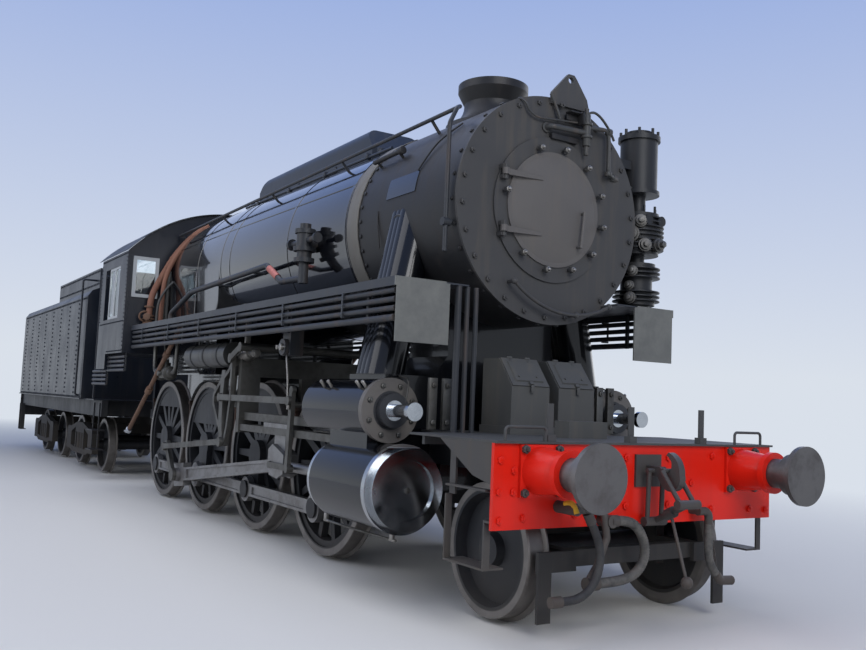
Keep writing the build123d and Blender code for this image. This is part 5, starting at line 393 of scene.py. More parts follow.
def cover_finish():
    """Polished below; the valve chest's cover above is painted, paler on its rim, and its rod is bare."""
    made = machined("polished_and_painted_cover", "B4B8BC", "6E6A66", 0.1, 0.25, 0.0001)
    tree, shader, where = layers(made)
    place = node(tree, "SeparateXYZ", {"Vector": where}).outputs
    either_side = node(tree, "Math", {0: place["Y"]}, operation="ABSOLUTE")
    flat = node(tree, "CombineXYZ", {"Y": either_side, "Z": place["Z"]})
    rod = (0.0, CYLINDER_Y, CHEST_Z)
    from_rod = node(tree, "VectorMath", {0: flat, 1: rod}, operation="DISTANCE").outputs["Value"]
    beyond_rod = node(
        tree, "MapRange",
        {"Value": from_rod, "From Min": TAIL_ROD_FINISH_RADIUS, "From Max": TAIL_ROD_FINISH_RADIUS + 0.002},
    )
    above = node(tree, "MapRange", {"Value": place["Z"], "From Min": 1.03, "From Max": 1.04})
    painted = node(tree, "Math", {0: beyond_rod, 1: above}, operation="MULTIPLY")
    rim = node(
        tree, "MapRange",
        {"Value": from_rod, "From Min": CHEST_BOSS_RADIUS, "From Max": CHEST_BOSS_RADIUS + 0.005},
    )
    paint = node(tree, "Mix", {0: rim, 6: colour("26272A"), 7: colour("5E5A56")}, data_type="RGBA")
    steel = shader.inputs["Base Color"].links[0].from_socket
    polish = shader.inputs["Roughness"].links[0].from_socket
    surface = node(tree, "Mix", {0: painted, 6: steel, 7: paint}, data_type="RGBA")
    metal = node(tree, "Math", {0: 1.0, 1: painted}, operation="SUBTRACT")
    dull = node(tree, "Math", {0: painted, 1: 0.35, 2: polish}, operation="MULTIPLY_ADD", use_clamp=True)
    feed(tree, shader, {"Base Color": surface, "Metallic": metal, "Roughness": dull})
    return made


dress(cover_finish(), "cylinder_covers")


# Cylinder and valve chest trim
# Cover nuts, drain cocks and lubricator pipes of forged and drawn steel, screwed into the castings and
# rubbed by spanners and feet.
def pick(test):
    """In edit mode, selects just the faces whose centre and normal pass the test."""
    work = bmesh.from_edit_mesh(bpy.context.object.data)
    for face in work.faces:
        face.select_set(False)
    for face in work.faces:
        if test(face.calc_center_median(), face.normal):
            face.select_set(True)
    bmesh.update_edit_mesh(bpy.context.object.data)


def modify(kind, **settings):
    """Adds a modifier to the active piece, sets it and applies it."""
    bpy.ops.object.modifier_add(type=kind)
    modifier = bpy.context.object.modifiers[-1]
    for name, value in settings.items():
        setattr(modifier, name, value)
    bpy.ops.object.modifier_apply(modifier=modifier.name)


def join(parts):
    """Makes one piece of several."""
    deselect()
    for part in parts:
        part.select_set(True)
    bpy.context.view_layer.objects.active = parts[0]
    if len(parts) > 1:
        bpy.ops.object.join()
    return bpy.context.object


def settle(name, material, parts=None, body="engine"):
    """Finishes a piece: place into the mesh, normals outward, edges smooth or sharp, finish and body."""
    made = join(parts or [bpy.context.object])
    bpy.ops.object.transform_apply(location=True, rotation=True, scale=True)
    bpy.ops.object.mode_set(mode="EDIT")
    bpy.ops.mesh.select_all(action="SELECT")
    bpy.ops.mesh.normals_make_consistent(inside=False)
    bpy.ops.object.mode_set(mode="OBJECT")
    bpy.ops.object.shade_smooth_by_angle(angle=math.radians(38))
    made.name = name
    made.data.name = name
    made.data.materials.clear()
    made.data.materials.append(material)
    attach(made, body)
    return made


def turned(start, end, radius, tip=None, sides=20, edge=0.003):
    """A turned piece between two points, straight or tapering to its tip radius, with eased edges."""
    start, end = Vector(start), Vector(end)
    line = end - start
    deselect()
    bpy.ops.mesh.primitive_cone_add(
        vertices=sides, radius1=radius, radius2=radius if tip is None else tip, depth=line.length,
        location=(start + end) / 2, rotation=line.to_track_quat("Z", "Y").to_euler(),
    )
    modify("BEVEL", width=edge, segments=2, limit_method="ANGLE")
    return bpy.context.object


def pipe(radius, *points, sides=3):
    """A drawn pipe that bends smoothly past these points, closed at both ends."""
    made = smooth_line("pipe", points, 5)
    made.data.bevel_depth = radius
    made.data.bevel_resolution = sides
    made.data.use_fill_caps = True
    deselect()
    made.select_set(True)
    bpy.context.view_layer.objects.active = made
    bpy.ops.object.convert(target="MESH")
    return bpy.context.object


def crown(sides, radius, thick, lift, inset, rise):
    """A short prism by the origin, its top face drawn in and raised. It stays in edit mode."""
    deselect()
    bpy.ops.mesh.primitive_cylinder_add(vertices=sides, radius=radius, depth=thick, location=(0, 0, lift))
    bpy.ops.object.transform_apply(location=True, rotation=False, scale=False)
    bpy.ops.object.mode_set(mode="EDIT")
    bpy.ops.mesh.select_mode(type="FACE")
    pick(lambda centre, normal: normal.z > 0.9)
    bpy.ops.mesh.inset(thickness=inset)
    bpy.ops.transform.translate(value=(0, 0, rise))


def nut(across, thick, stud):
    """A hexagon nut or bolt head at the origin, facing up, with its stud's end standing out of it."""
    crown(6, across / 1.73, thick, thick * 0.4, across * 0.1, thick * 0.12)
    bpy.ops.mesh.inset(thickness=across * 0.16)
    bpy.ops.mesh.extrude_region_move(TRANSFORM_OT_translate={"value": (0, 0, stud)})
    bpy.ops.object.mode_set(mode="OBJECT")
    return bpy.context.object


def set_out(master, places):
    """Copies a fastener to each place and facing, each with its own mesh, and makes one piece of them."""
    copies = []
    for place, facing in places:
        turn = Vector(facing).to_track_quat("Z", "Y").to_matrix().to_4x4()
        copy = bpy.data.objects.new("copy", master.data.copy())
        copy.data.transform(Matrix.Translation(place) @ turn)
        scene.collection.objects.link(copy)
        copies.append(copy)
    bpy.data.objects.remove(master)
    return join(copies)


CHEST_COVER_X, CHEST_NUT_CIRCLE, COVER_DISH_X = 7.3498, 0.184, 7.613
cock_steel = machined("rubbed_cock_steel", "8E8B86", "4A443C", 0.4, 0.5)
cover_nuts, cocks, trims = [], [], []
for side in (-1, 1):
    y = side * CYLINDER_Y
    for number in range(8):
        turn = 2 * math.pi * (number + 0.5) / 8
        outward = Vector((0, math.cos(turn), math.sin(turn)))
        cover_nuts.append((Vector((CHEST_COVER_X, y, CHEST_Z)) + CHEST_NUT_CIRCLE * outward, (1, 0, 0)))
    cover_nuts.append(((COVER_DISH_X, y, CYLINDER_Z), (1, 0, 0)))
    for x in (6.61, 6.731, 7.19, 7.28):
        foot = Vector((x, side * (CYLINDER_Y + 0.16), CHEST_Z + 0.15))
        tip = foot + Vector((0, side * 0.03, 0.04))
        cap = tip + Vector((0, side * 0.01, 0.013))
        cocks += [turned(foot, tip, 0.012, sides=12), turned(tip, cap, 0.017, 0.01, 12)]
    for x in (6.42, 7.45):
        cocks += [
            turned((x, y, 0.458), (x, y, 0.395), 0.02, sides=12),
            turned((x - 0.03, y, 0.4), (x + 0.05, y, 0.4), 0.012, sides=12),
        ]
    trims += [
        pipe(0.009, (6.43, y, 0.402), (6.9, y, 0.394), (7.46, y, 0.402)),
        pipe(0.007, (7.395, side * 1.0, 1.2), (7.41, side * 0.96, 1.42), (7.4, side * 0.95, 1.505),
             (7.3, side * 0.93, 1.52), (7.1, side * 0.9, 1.54)),
    ]
set_out(nut(0.034, 0.018, 0.012), cover_nuts)
settle("cylinder_cover_nuts", gear_steel)
settle("cylinder_cocks", cock_steel, cocks)
settle("cylinder_small_pipes", gear_steel, trims)


# Saddle front
# Two flat straps up the front of the saddle casting on each side, forged from bar and bolted on.
# Their paint has worn to a pale grey.
def plate(one, other, edge=0.002, turn=0.0):
    """A flat plate between two far corners, its edges eased, leaning by turn about its own cross line."""
    one, other = Vector(one), Vector(other)
    deselect()
    bpy.ops.mesh.primitive_cube_add(size=1, location=(one + other) / 2, rotation=(0, turn, 0))
    bpy.context.object.scale = [abs(length) for length in other - one]
    bpy.ops.object.transform_apply(location=False, rotation=False, scale=True)
    modify("BEVEL", width=edge, segments=2, limit_method="ANGLE")
    return bpy.context.object


saddle_straps, strap_bolts = [], []
for side in (-1, 1):
    for near, far in ((0.69, 0.755), (0.805, 0.87)):
        saddle_straps.append(plate((7.522, side * near, 1.16), (7.552, side * far, 1.52)))
        strap_bolts += [((7.552, side * (near + far) / 2, z), (1, 0, 0)) for z in (1.21, 1.47)]
saddle_straps.append(set_out(nut(0.036, 0.018, 0.008), strap_bolts))
settle("saddle_straps", gear_steel, saddle_straps)

# Boiler
# Barrel and firebox are lagged and clothed in thin rolled sheet. Its gloss black enamel, rubbed down
# and varnished, mirrors the sky.
boiler_black = enamel("gloss_black_boiler_clothing", "090A0F", "0E1016", "26231F", 0.12, 0.1, 0.1, 0.0002, 1.0)
dress(boiler_black, "boiler_barrel", "firebox", "cab_fittings")
# The blue in the dome casing's colour is a painted sheen of the sky on dull enamel.
dome_enamel_painted_sheen = enamel("weathered_dome_enamel_painted_sheen", "23272F", "2E333D", "4A4640", 0.3, 0.2, 0.1)
dress(dome_enamel_painted_sheen, "dome_casing")

# Boiler bands and seams
# Thin rolled strips that hold the clothing sheets down, the lap seam along each side, and the small
# pipes and clips beside the dome's casing. They are enamelled with the sheets.
BOILER_Z = 2.8
BARREL_BACK, BARREL_FRONT = 3.0, 6.1
RADIUS_BACK, RADIUS_FRONT = 0.885, 0.856
BAND_WIDTH, BAND_THICK = 0.045, 0.0035
FIREBOX_HALF, FIREBOX_FOOT = 0.8855, 2.174


def barrel_radius(x):
    """The clothing tapers from the firebox to the smokebox."""
    return RADIUS_BACK + (RADIUS_FRONT - RADIUS_BACK) * max(0.0, x - BARREL_BACK) / (BARREL_FRONT - BARREL_BACK)


def band(place, radius, width, thick, sides=96, keep=None):
    """A strip rolled round an axis along X, its thickness outwards, or just the faces that pass a test."""
    deselect()
    bpy.ops.mesh.primitive_cylinder_add(
        vertices=sides, radius=radius, depth=width, end_fill_type="NOTHING",
        location=place, rotation=(0, math.pi / 2, 0),
    )
    bpy.ops.object.transform_apply(location=True, rotation=True, scale=False)
    if keep:
        bpy.ops.object.mode_set(mode="EDIT")
        bpy.ops.mesh.select_mode(type="FACE")
        pick(lambda centre, normal: not keep(centre))
        bpy.ops.mesh.delete(type="FACE")
        bpy.ops.object.mode_set(mode="OBJECT")
    modify("SOLIDIFY", thickness=thick, offset=1.0)
    return bpy.context.object


bands = [
    band((x, 0, BOILER_Z), barrel_radius(x) + 0.0005, BAND_WIDTH, BAND_THICK)
    for x in (3.03, 3.31, 4.86, 6.06)
]
for x in (1.0, 2.2):
    bands.append(band(
        (x, 0, BOILER_Z), FIREBOX_HALF, BAND_WIDTH, BAND_THICK, keep=lambda centre: centre.z >= BOILER_Z,
    ))
    for side in (-1, 1):
        foot = (x - BAND_WIDTH / 2, side * FIREBOX_HALF, FIREBOX_FOOT)
        top = (x + BAND_WIDTH / 2, side * (FIREBOX_HALF + BAND_THICK), BOILER_Z)
        bands.append(plate(foot, top, 0.0008))
SEAM_TURN = math.radians(25.8)
for side in (-1, 1):
    seam = [
        (x, side * radius * math.cos(SEAM_TURN), BOILER_Z + radius * math.sin(SEAM_TURN))
        for x, radius in ((0.96, 0.886), (3.0, 0.886), (6.08, 0.8575))
    ]
    bands += [pipe(0.006, seam[0], seam[1], sides=2), pipe(0.006, seam[1], seam[2], sides=2)]
settle("boiler_bands", boiler_black, bands)

top_pipes = []
for side in (-1, 1):
    y = side * 0.42
    top_pipes += [
        pipe(0.014, (2.5, y, 3.6), (4.2, y, 3.588), (6.05, y, 3.57)),
        pipe(0.01, (2.62, side * 0.3, 3.7), (2.62, side * 0.34, 3.69),
             (2.64, side * 0.4, 3.62), (2.64, y, 3.6)),
    ]
    for x in (2.9, 3.8, 4.7, 5.6):
        top_pipes += [
            plate((x - 0.02, side * 0.395, 3.56), (x + 0.02, side * 0.445, 3.612)),
            turned((x + 0.1, side * 0.36, 3.59), (x + 0.1, side * 0.36, 3.66), 0.016),
        ]
# The pipes take the dome's finish, with its blue sheen painted into the colour.
settle("boiler_top_pipes", dome_enamel_painted_sheen, top_pipes)

FEED_PIPE_Y = 0.9999
copper = machined("oxidised_copper", "B87468", "7A5A50", 0.45, 0.5)
feed_sleeves = [
    pipe(0.034, (4.8, side * FEED_PIPE_Y, 2.555), (5.02, side * FEED_PIPE_Y, 2.447), sides=4)
    for side in (-1, 1)
]
settle("feed_pipe_sleeves", copper, feed_sleeves)

# Smokebox
# Rolled plate without clothing, brushed with heat resisting black, which dries matt and greys with
# ash. The front plate and the pressed door are paler still.
smokebox_grey = enamel("matt_heat_resisting_black", "1E1E20", "29292A", "463C35", 0.42, 0.25, 0.1)
dress(smokebox_grey, "smokebox", "chimney")
front_grey = enamel("matt_front_plate_black", "3A3A3B", "454443", "5A544C", 0.5, 0.5, 0.1)
dress(front_grey, "smokebox_front")
door_grey = enamel("grey_heat_resisting_paint", "524F4E", "5F5C59", "6A6259", 0.5, 0.3, 0.1)
dress(door_grey, "smokebox_door")

# Fasteners and pipes of the smokebox
# Steel bolts round the front plate, rivets round the shell and its joint band, and the small steam
# pipes, valve and brackets above the door. Painted with the smokebox, rubbed on their high spots.
FRONT_X = 7.76
PLATE_BOLTS, PLATE_BOLT_CIRCLE = 26, 0.8
SMOKEBOX_RADIUS = 0.85


def round_boiler(x, radius, count, start=0.0, end=360.0, facing=None):
    """Places spaced evenly round the boiler's axis, facing outwards or as told."""
    places = []
    for number in range(count):
        turn = math.radians(start + (end - start) * number / count)
        outward = Vector((0, math.cos(turn), math.sin(turn)))
        places.append((Vector((x, 0, BOILER_Z)) + radius * outward, facing or outward))
    return places


plate_bolts = round_boiler(FRONT_X, PLATE_BOLT_CIRCLE, PLATE_BOLTS, 4.0, 364.0, (1, 0, 0))
LUG_STAND = 0.028
for place, facing in plate_bolts:
    if -0.06 < place.y < 0.3 and place.z > BOILER_Z:
        place.x += LUG_STAND
set_out(nut(0.036, 0.02, 0.01), plate_bolts)
settle("smokebox_plate_bolts", front_grey)


def rivet(radius, rise):
    """A snap head rivet at the origin, round side up."""
    crown(8, radius, rise, rise * 0.25, radius * 0.4, rise * 0.35)
    bpy.ops.object.mode_set(mode="OBJECT")
    return bpy.context.object


shell_rivets = round_boiler(7.705, SMOKEBOX_RADIUS, 30, 2.0, 362.0) + round_boiler(6.35, SMOKEBOX_RADIUS, 44)
set_out(rivet(0.017, 0.012), shell_rivets)
settle("smokebox_rivets", smokebox_grey)

band_grey = enamel("grey_joint_band_paint", "5E5C58", "6C6964", "544A40", 0.5, 0.3, 0.1)
band((6.215, 0, BOILER_Z), SMOKEBOX_RADIUS + 0.0015, 0.19, 0.011)
modify("BEVEL", width=0.002, segments=2, limit_method="ANGLE")
settle("smokebox_joint_band", band_grey)

front_pipes = [
    pipe(0.008, (7.762, -0.33, 3.58), (7.79, -0.3, 3.564), (7.79, -0.266, 3.496), (7.79, -0.2, 3.465),
         (7.792, -0.134, 3.464), (7.795, 0.019, 3.48), (7.8, 0.255, 3.498)),
    pipe(0.021, (7.762, -0.085, 3.412), (7.815, -0.08, 3.412), (7.825, -0.02, 3.412), (7.825, 0.08, 3.416),
         (7.825, 0.25, 3.421)),
    pipe(0.012, (7.794, -0.07, 3.667), (7.794, -0.02, 3.59), (7.794, 0.024, 3.489)),
    pipe(0.016, (7.825, 0.26, 3.466), (7.825, 0.4, 3.48), (7.825, 0.48, 3.48), (7.825, 0.49, 3.4),
         (7.825, 0.49, 3.23), (7.825, 0.49, 3.15), (7.79, 0.56, 3.143), (7.7, 0.74, 3.143),
         (7.64, 0.9, 3.143), (7.6, 0.96, 3.143)),
    pipe(0.01, (7.825, 0.262, 3.56), (7.825, 0.3, 3.6), (7.815, 0.4, 3.59), (7.77, 0.56, 3.5),
         (7.762, 0.6, 3.44)),
    turned((7.762, 0.26, 3.44), (7.825, 0.26, 3.44), 0.016),
    turned((7.825, 0.47, 3.47), (7.825, 0.504, 3.47), 0.03),
    turned((7.825, 0.49, 3.128), (7.825, 0.49, 3.16), 0.03),
    turned((7.77, 0.575, 3.143), (7.735, 0.655, 3.143), 0.03),
    turned((7.762, -0.08, 3.412), (7.775, -0.08, 3.412), 0.04),
]
LUG_VALVE = (7.825, 0.26)
for low, high, radius in (
    (3.32, 3.56, 0.03), (3.38, 3.4, 0.044), (3.478, 3.5, 0.044), (3.556, 3.61, 0.016),
    (3.25, 3.322, 0.018),
):
    front_pipes.append(turned((*LUG_VALVE, low), (*LUG_VALVE, high), radius))
worn_pipe = enamel("worn_black_pipe_paint", "343536", "4A4A48", "6A5646", 0.42, 0.4, 0.1)
settle("smokebox_front_pipes", worn_pipe, front_pipes)

lug_bracket = [
    plate((7.786, 0.085, 3.548), (7.85, 0.215, 3.56)),
    plate((7.786, 0.085, 3.5), (7.798, 0.215, 3.552)),
    plate((7.786, 0.19, 3.47), (7.87, 0.204, 3.56)),
    plate((7.762, -0.05, 3.33), (7.8, 0.2, 3.372)),
]
settle("smokebox_lamp_bracket", smokebox_grey, lug_bracket)

# Dog nuts of the smokebox door
# Domed nuts on the studs that hold the door's dogs, turned from steel bar and rubbed bright by the
# spanner. The circle has a gap at each of the two hinges.
DOG_CIRCLE, DOG_NUT_X = 0.462, 7.822
dog_nuts = []
for number in range(12):
    if number in (5, 7):
        continue
    turn = math.radians(-9.5 + 30 * number)
    centre = Vector((DOG_NUT_X, DOG_CIRCLE * math.cos(turn), BOILER_Z + DOG_CIRCLE * math.sin(turn)))
    forward = Vector((0.018, 0, 0))
    dog_nuts += [
        turned(centre, centre + forward, 0.022, sides=6, edge=0.002),
        turned(centre + forward * 0.6, centre + forward * 2, 0.019, 0.01, 12, 0.006),
    ]
settle("smokebox_dog_nuts", cock_steel, dog_nuts)

# Steam pipe flanges
# A flange rolled to the smokebox closes the hole round each steam pipe. Painted with the smokebox, it
# shows as a raised arch beside the pipe.
FLANGE_ARCH = (
    (6.668, 2.42), (6.74, 2.545), (6.805, 2.64), (6.87, 2.712), (6.925, 2.752), (6.975, 2.76),
    (7.03, 2.738), (7.078, 2.685), (7.105, 2.61), (7.118, 2.51), (7.12, 2.4),
)
flanges = []
for side in (-1, 1):
    arch = [
        (x, side * math.sqrt((SMOKEBOX_RADIUS + 0.002) ** 2 - (z - BOILER_Z) ** 2), z)
        for x, z in FLANGE_ARCH
    ]
    flanges.append(pipe(0.013, *arch))
settle("steam_pipe_flanges", smokebox_grey, flanges)

# Side fittings and patch
# Small pipes and a handle on the smokebox's right shoulder, and a riveted patch of gloss sheet that
# mirrors the sky.
side_fittings = [
    pipe(0.02, (6.36, -0.752, 3.31), (6.56, -0.745, 3.32), (6.77, -0.735, 3.33)),
    turned((6.4, -0.7, 3.27), (6.4, -0.752, 3.312), 0.012),
    turned((6.73, -0.69, 3.285), (6.73, -0.736, 3.328), 0.012),
    turned((6.745, -0.735, 3.329), (6.795, -0.734, 3.331), 0.032),
    pipe(0.006, (6.64, -0.852, 2.84), (6.65, -0.858, 2.78), (6.665, -0.852, 2.65), (6.67, -0.838, 2.54)),
    pipe(0.007, (7.43, -0.6, 3.42), (7.36, -0.7, 3.33), (7.26, -0.77, 3.215), (7.17, -0.815, 3.075)),
]
settle("smokebox_side_fittings", smokebox_grey, side_fittings)
band(
    (6.975, 0, BOILER_Z), SMOKEBOX_RADIUS + 0.001, 0.43, 0.006,
    keep=lambda centre: centre.y < -0.8 and 2.935 < centre.z < 3.055,
)
settle("smokebox_patch_plate", boiler_black)

# Air pump and pipes
# Cast iron and drawn steel pipe, brushed satin black, dusty where the wind brings ash. The air
# reservoirs are riveted drums in a duller coat.
pump_black = enamel("satin_black_cast_iron", "1F2022", "2B2C2E", "4F4A44", 0.4, 0.3, 0.1)
dress(pump_black, "air_pump")

# Air pump fins and valve caps
# Cast cooling fins round the middle and lower cylinders, studs on the top cover, and turned valve
# caps with hexagon ends, rubbed to bare metal by the spanner.
PUMP_X, PUMP_Y = 7.56, 1.075


def round_pump(turn, reach):
    """A point beside the pump's centre line, by its turn from straight ahead."""
    turn = math.radians(turn)
    return PUMP_X + reach * math.cos(turn), PUMP_Y + reach * math.sin(turn)


fins = [turned((PUMP_X, PUMP_Y, 2.64), (PUMP_X, PUMP_Y, 2.925), 0.185, sides=32)]
for low, count, radius in ((2.652, 8, 0.214), (2.23, 3, 0.19), (2.42, 3, 0.19)):
    for number in range(count):
        level_z = low + 0.036 * number
        fins.append(turned((PUMP_X, PUMP_Y, level_z), (PUMP_X, PUMP_Y, level_z + 0.012), radius, sides=32))
for turn in (20, 65, 110, 155, 200, 245, 290, 335):
    foot = round_pump(turn, 0.15)
    fins.append(turned((*foot, 2.9), (*foot, 3.01), 0.011, sides=10))
settle("air_pump_fins", pump_black, fins)
caps = []
for turn, z, reach, radius in (
    (-78, 2.862, 0.18, 0.04), (-38, 2.866, 0.18, 0.042), (-58, 2.762, 0.18, 0.056),
    (-28, 2.672, 0.18, 0.044), (6, 2.68, 0.18, 0.044), (-55, 2.466, 0.15, 0.036),
    (-60, 2.25, 0.15, 0.04), (-62, 2.35, 0.15, 0.032),
):
    foot, mid, tip = (Vector((*round_pump(turn, out), z)) for out in (reach, reach + 0.07, reach + 0.1))
    caps += [
        turned(foot, mid, radius), turned(mid, tip, radius * 0.62, sides=6),
        turned(foot, foot.lerp(mid, 0.6), radius * 1.25),
    ]
pump_steel = machined("rubbed_cast_iron", "6A6864", "3C3834", 0.45, 0.6)
settle("air_pump_valve_caps", pump_steel, caps)
pipe_grey = enamel("satin_black_pipe_paint", "26282B", "35373B", "6A5646", 0.4, 0.4, 0.4)
dress(pipe_grey, "pipework", "boiler_fittings", "handrails")
reservoir_grey = enamel("dull_reservoir_enamel", "2C2D2D", "3E3E3B", "4E483F", 0.34, 0.3, 0.2)
dress(reservoir_grey, "air_reservoirs")

# Deck, running boards and tool boxes
# Rolled plate in satin black, walked on and dusty, greyer on the boxes that face the weather. The
# apron at the front of the boards has chalked to a pale grey.
board_black = enamel("satin_board_enamel", "2A2D32", "373A40", "5C564E", 0.38, 0.3, 0.4)
APRON_X = 7.744
tree, shader, where = layers(board_black)
along = node(tree, "SeparateXYZ", {"Vector": where}).outputs["X"]
apron = node(tree, "MapRange", {"Value": along, "From Min": APRON_X, "From Max": APRON_X + 0.002})
chalked = node(tree, "TexNoise", {"Vector": where, "Scale": 7.0, "Detail": 8.0, "Roughness": 0.7})
primer = node(tree, "Mix", {0: chalked, 6: colour("4E504F"), 7: colour("7C7C77")}, data_type="RGBA")
enamelled = shader.inputs["Base Color"].links[0].from_socket
surface = node(tree, "Mix", {0: apron, 6: enamelled, 7: primer}, data_type="RGBA")
feed(tree, shader, {"Base Color": surface})
dress(board_black, "running_boards")
# The platform is lighter than the boards partly from trodden dust and partly as painted sunlight on its top.
deck_dust_and_painted_sunlight = enamel("trodden_deck_enamel_and_painted_sunlight", "3E3F40", "4A4A49", "625C54", 0.55, 0.4, 0.4)
dress(deck_dust_and_painted_sunlight, "front_platform")
box_grey = enamel("weathered_box_enamel", "454544", "565654", "6A645A", 0.55, 0.4, 0.4)
dress(box_grey, "toolboxes", "toolbox_lid_right", "toolbox_lid_left")
step_grey = enamel("worn_step_iron", "3C3A39", "4C4A48", "5C544A", 0.5, 0.4, 0.6)
dress(step_grey, "front_steps")

# Fittings of the boards and boxes
# Bent strap clips round the edge pipes, and hinge straps, bolts and hasps on the tool boxes. They
# are cut from steel strip and painted with what carries them.
clips = []
for side in (-1, 1):
    for x in (1.5, 2.6, 3.7, 4.8, 5.9, 7.0):
        for inner, outer, low, high in (
            (1.238, 1.306, 2.095, 2.112), (1.238, 1.306, 1.93, 1.944), (1.3, 1.308, 1.932, 2.112),
        ):
            clips.append(plate((x - 0.01, side * inner, low), (x + 0.01, side * outer, high)))
settle("board_pipe_clips", board_black, clips)
LID_TURN = 0.851
for side, body in ((-1, "lid_right"), (1, "lid_left")):
    straps = []
    for shift in (-0.085, 0.075):
        y = side * 0.213 + shift
        centre = Vector((7.762, y, 1.617))
        half = Vector((0.085, 0.013, 0.003))
        straps += [
            plate(centre - half, centre + half, 0.0015, LID_TURN),
            turned((7.815, y, 1.556), (7.824, y, 1.564), 0.009, sides=6),
            turned((7.697, y - 0.022, 1.693), (7.697, y + 0.022, 1.693), 0.009),
        ]
    straps.append(plate((7.867, side * 0.213 - 0.013, 1.445), (7.873, side * 0.213 + 0.013, 1.5)))
    settle(f"toolbox_straps_{body}", box_grey, straps, body)

# Pipes and injectors below the running boards
# A water pipe down to the tender, still in primer and rust, the injector that it leaves, the drive of
# the lubricator, the reservoirs' straps and the reversing cylinder, in oily cast and drawn steel.
raw_rust = enamel("rusty_primed_pipe", "5A463B", "6E5545", "3A2C25", 0.7, 0.6, 0.2)
for side, name in ((-1, "right"), (1, "left")):
    y = side * 1.2
    parts = [
        pipe(0.027, (2.79, y, 2.112), (2.7, y, 2.05), (1.6, y, 1.352), (0.76, y, 0.823)),
        turned((1.64, y, 1.377), (1.56, y, 1.327), 0.042),
        turned((2.3, y, 1.8), (2.23, y, 1.755), 0.04),
    ]
    settle(f"injector_water_pipe_{name}", raw_rust, parts)
    parts = [
        turned((0.8, y, 0.848), (0.74, y, 0.81), 0.038),
        turned((0.76, y, 0.815), (0.6, y, 0.8), 0.03, 0.022),
    ]
    settle(f"injector_overflow_nozzle_{name}", cover_steel, parts)
    y = side * 1.13
    parts = [
        turned((1.76, y, 1.56), (2.28, y, 1.56), 0.055),
        turned((1.83, y, 1.56), (1.86, y, 1.56), 0.085),
        turned((2.18, y, 1.56), (2.21, y, 1.56), 0.085),
        turned((2.0, y, 1.5), (2.0, y, 1.69), 0.062),
        turned((2.0, y, 1.69), (2.0, y, 1.73), 0.04),
        turned((2.0, y, 1.56), (2.0, side * 1.22, 1.56), 0.034),
        pipe(0.024, (2.26, y, 1.56), (2.4, y, 1.57), (2.43, y, 1.7), (2.43, y, 2.112)),
        pipe(0.024, (1.78, y, 1.56), (1.56, y, 1.57), (1.52, y, 1.7), (1.52, y, 2.112)),
        pipe(0.014, (2.0, y, 1.72), (2.0, y, 1.82), (1.9, y, 1.9), (1.9, y, 2.112)),
    ]
    settle(f"injector_{name}", gear_steel, parts)
    near, mid, far_out = side * 1.205, side * 1.215, side * 1.245
    parts = [
        pipe(0.008, (5.8, side * 1.2, 1.7), (5.83, mid, 1.66), (5.88, mid, 1.5),
             (5.89, mid, 1.34), (5.9, near, 1.3)),
        turned((5.78, side * 1.238, 1.76), (5.78, side * 1.262, 1.76), 0.03),
        pipe(0.007, (5.7, far_out, 1.76), (5.78, side * 1.25, 1.76), (5.86, far_out, 1.76)),
        turned((5.69, side * 1.246, 1.742), (5.69, side * 1.246, 1.778), 0.013),
        turned((5.9, near, 1.31), (5.9, near, 1.24), 0.016),
    ]
    settle(f"lubricator_drive_{name}", cock_steel, parts)
    straps = [band((x, side * 1.12, 1.735), 0.1256, 0.035, 0.004, 40) for x in (3.3, 3.7, 4.12)]
    settle(f"reservoir_straps_{name}", frame_black, straps)
    y, z = side * 1.1, 1.74
    parts = [
        plate((4.585, side * 1.075, 1.8), (4.615, side * 1.125, 2.114)),
        turned((4.56, y, z), (4.64, y, z), 0.085, sides=28),
        turned((4.635, y, z), (4.7, y, z), 0.082, 0.052, 28, 0.006),
        turned((4.69, y, z), (4.86, y, z), 0.03),
        turned((4.82, y, z), (4.845, y, z), 0.045),
    ]
    settle(f"reversing_cylinder_{name}", cock_steel, parts)

# Cab
# Riveted sheet in gloss black, its blue grey sheen painted into the colour, under a rolled roof in
# satin black, with grey window frames and clear drawn glass.
cab_black_painted_sheen = enamel("gloss_black_cab_enamel_painted_sheen", "14171E", "1B1F28", "3E3933", 0.3, 0.2, 0.3, 0.0004)
dress(cab_black_painted_sheen, "cab_shell")
roof_black = enamel("satin_roof_enamel", "1B1D20", "292B2F", "4A453F", 0.4, 0.2, 0.1)
dress(roof_black, "cab_roof")
window_grey = enamel("grey_window_enamel", "9A9EA2", "A8ABAC", "6E6860", 0.4, 0.3, 0.1)
dress(window_grey, "cab_windows")
glass, tree, shader, where = new_finish("clear_window_glass")
feed(tree, shader, {
    "Base Color": colour("D8E4E6"), "Roughness": 0.03, "Transmission Weight": 1.0, "IOR": 1.5,
})
dress(glass, "cab_glazing")

# Cab rivets and lagged pipes
# Snap head rivets along the sheets' edges, and steam pipes from the turret, wrapped in cloth that
# rust and heat have browned, down to the valve that stands on the board ahead of the cab.
CAB_SIDE, CAB_FRONT = 1.4, 0.93
places = []
for side in (-1, 1):
    outward = (0, side, 0)
    for z in (1.86 + 0.0525 * number for number in range(25)):
        places.append(((0.9, side * CAB_SIDE, z), outward))
        if z > 2.26:
            places.append(((-0.47, side * CAB_SIDE, z), outward))
    for x in (-0.42 + 0.056 * number for number in range(24)):
        places.append(((x, side * CAB_SIDE, 2.235), outward))
        places.append(((x, side * CAB_SIDE, 3.12), outward))
        if x > 0.03:
            places.append(((x, side * CAB_SIDE, 1.85), outward))
    for z in (2.23 + 0.0525 * number for number in range(18)):
        places.append(((CAB_FRONT, side * 1.37, z), (1, 0, 0)))
set_out(rivet(0.009, 0.007), places)
# The rivets take the cab's enamel, with its blue grey sheen painted into the colour.
settle("cab_rivets", cab_black_painted_sheen)

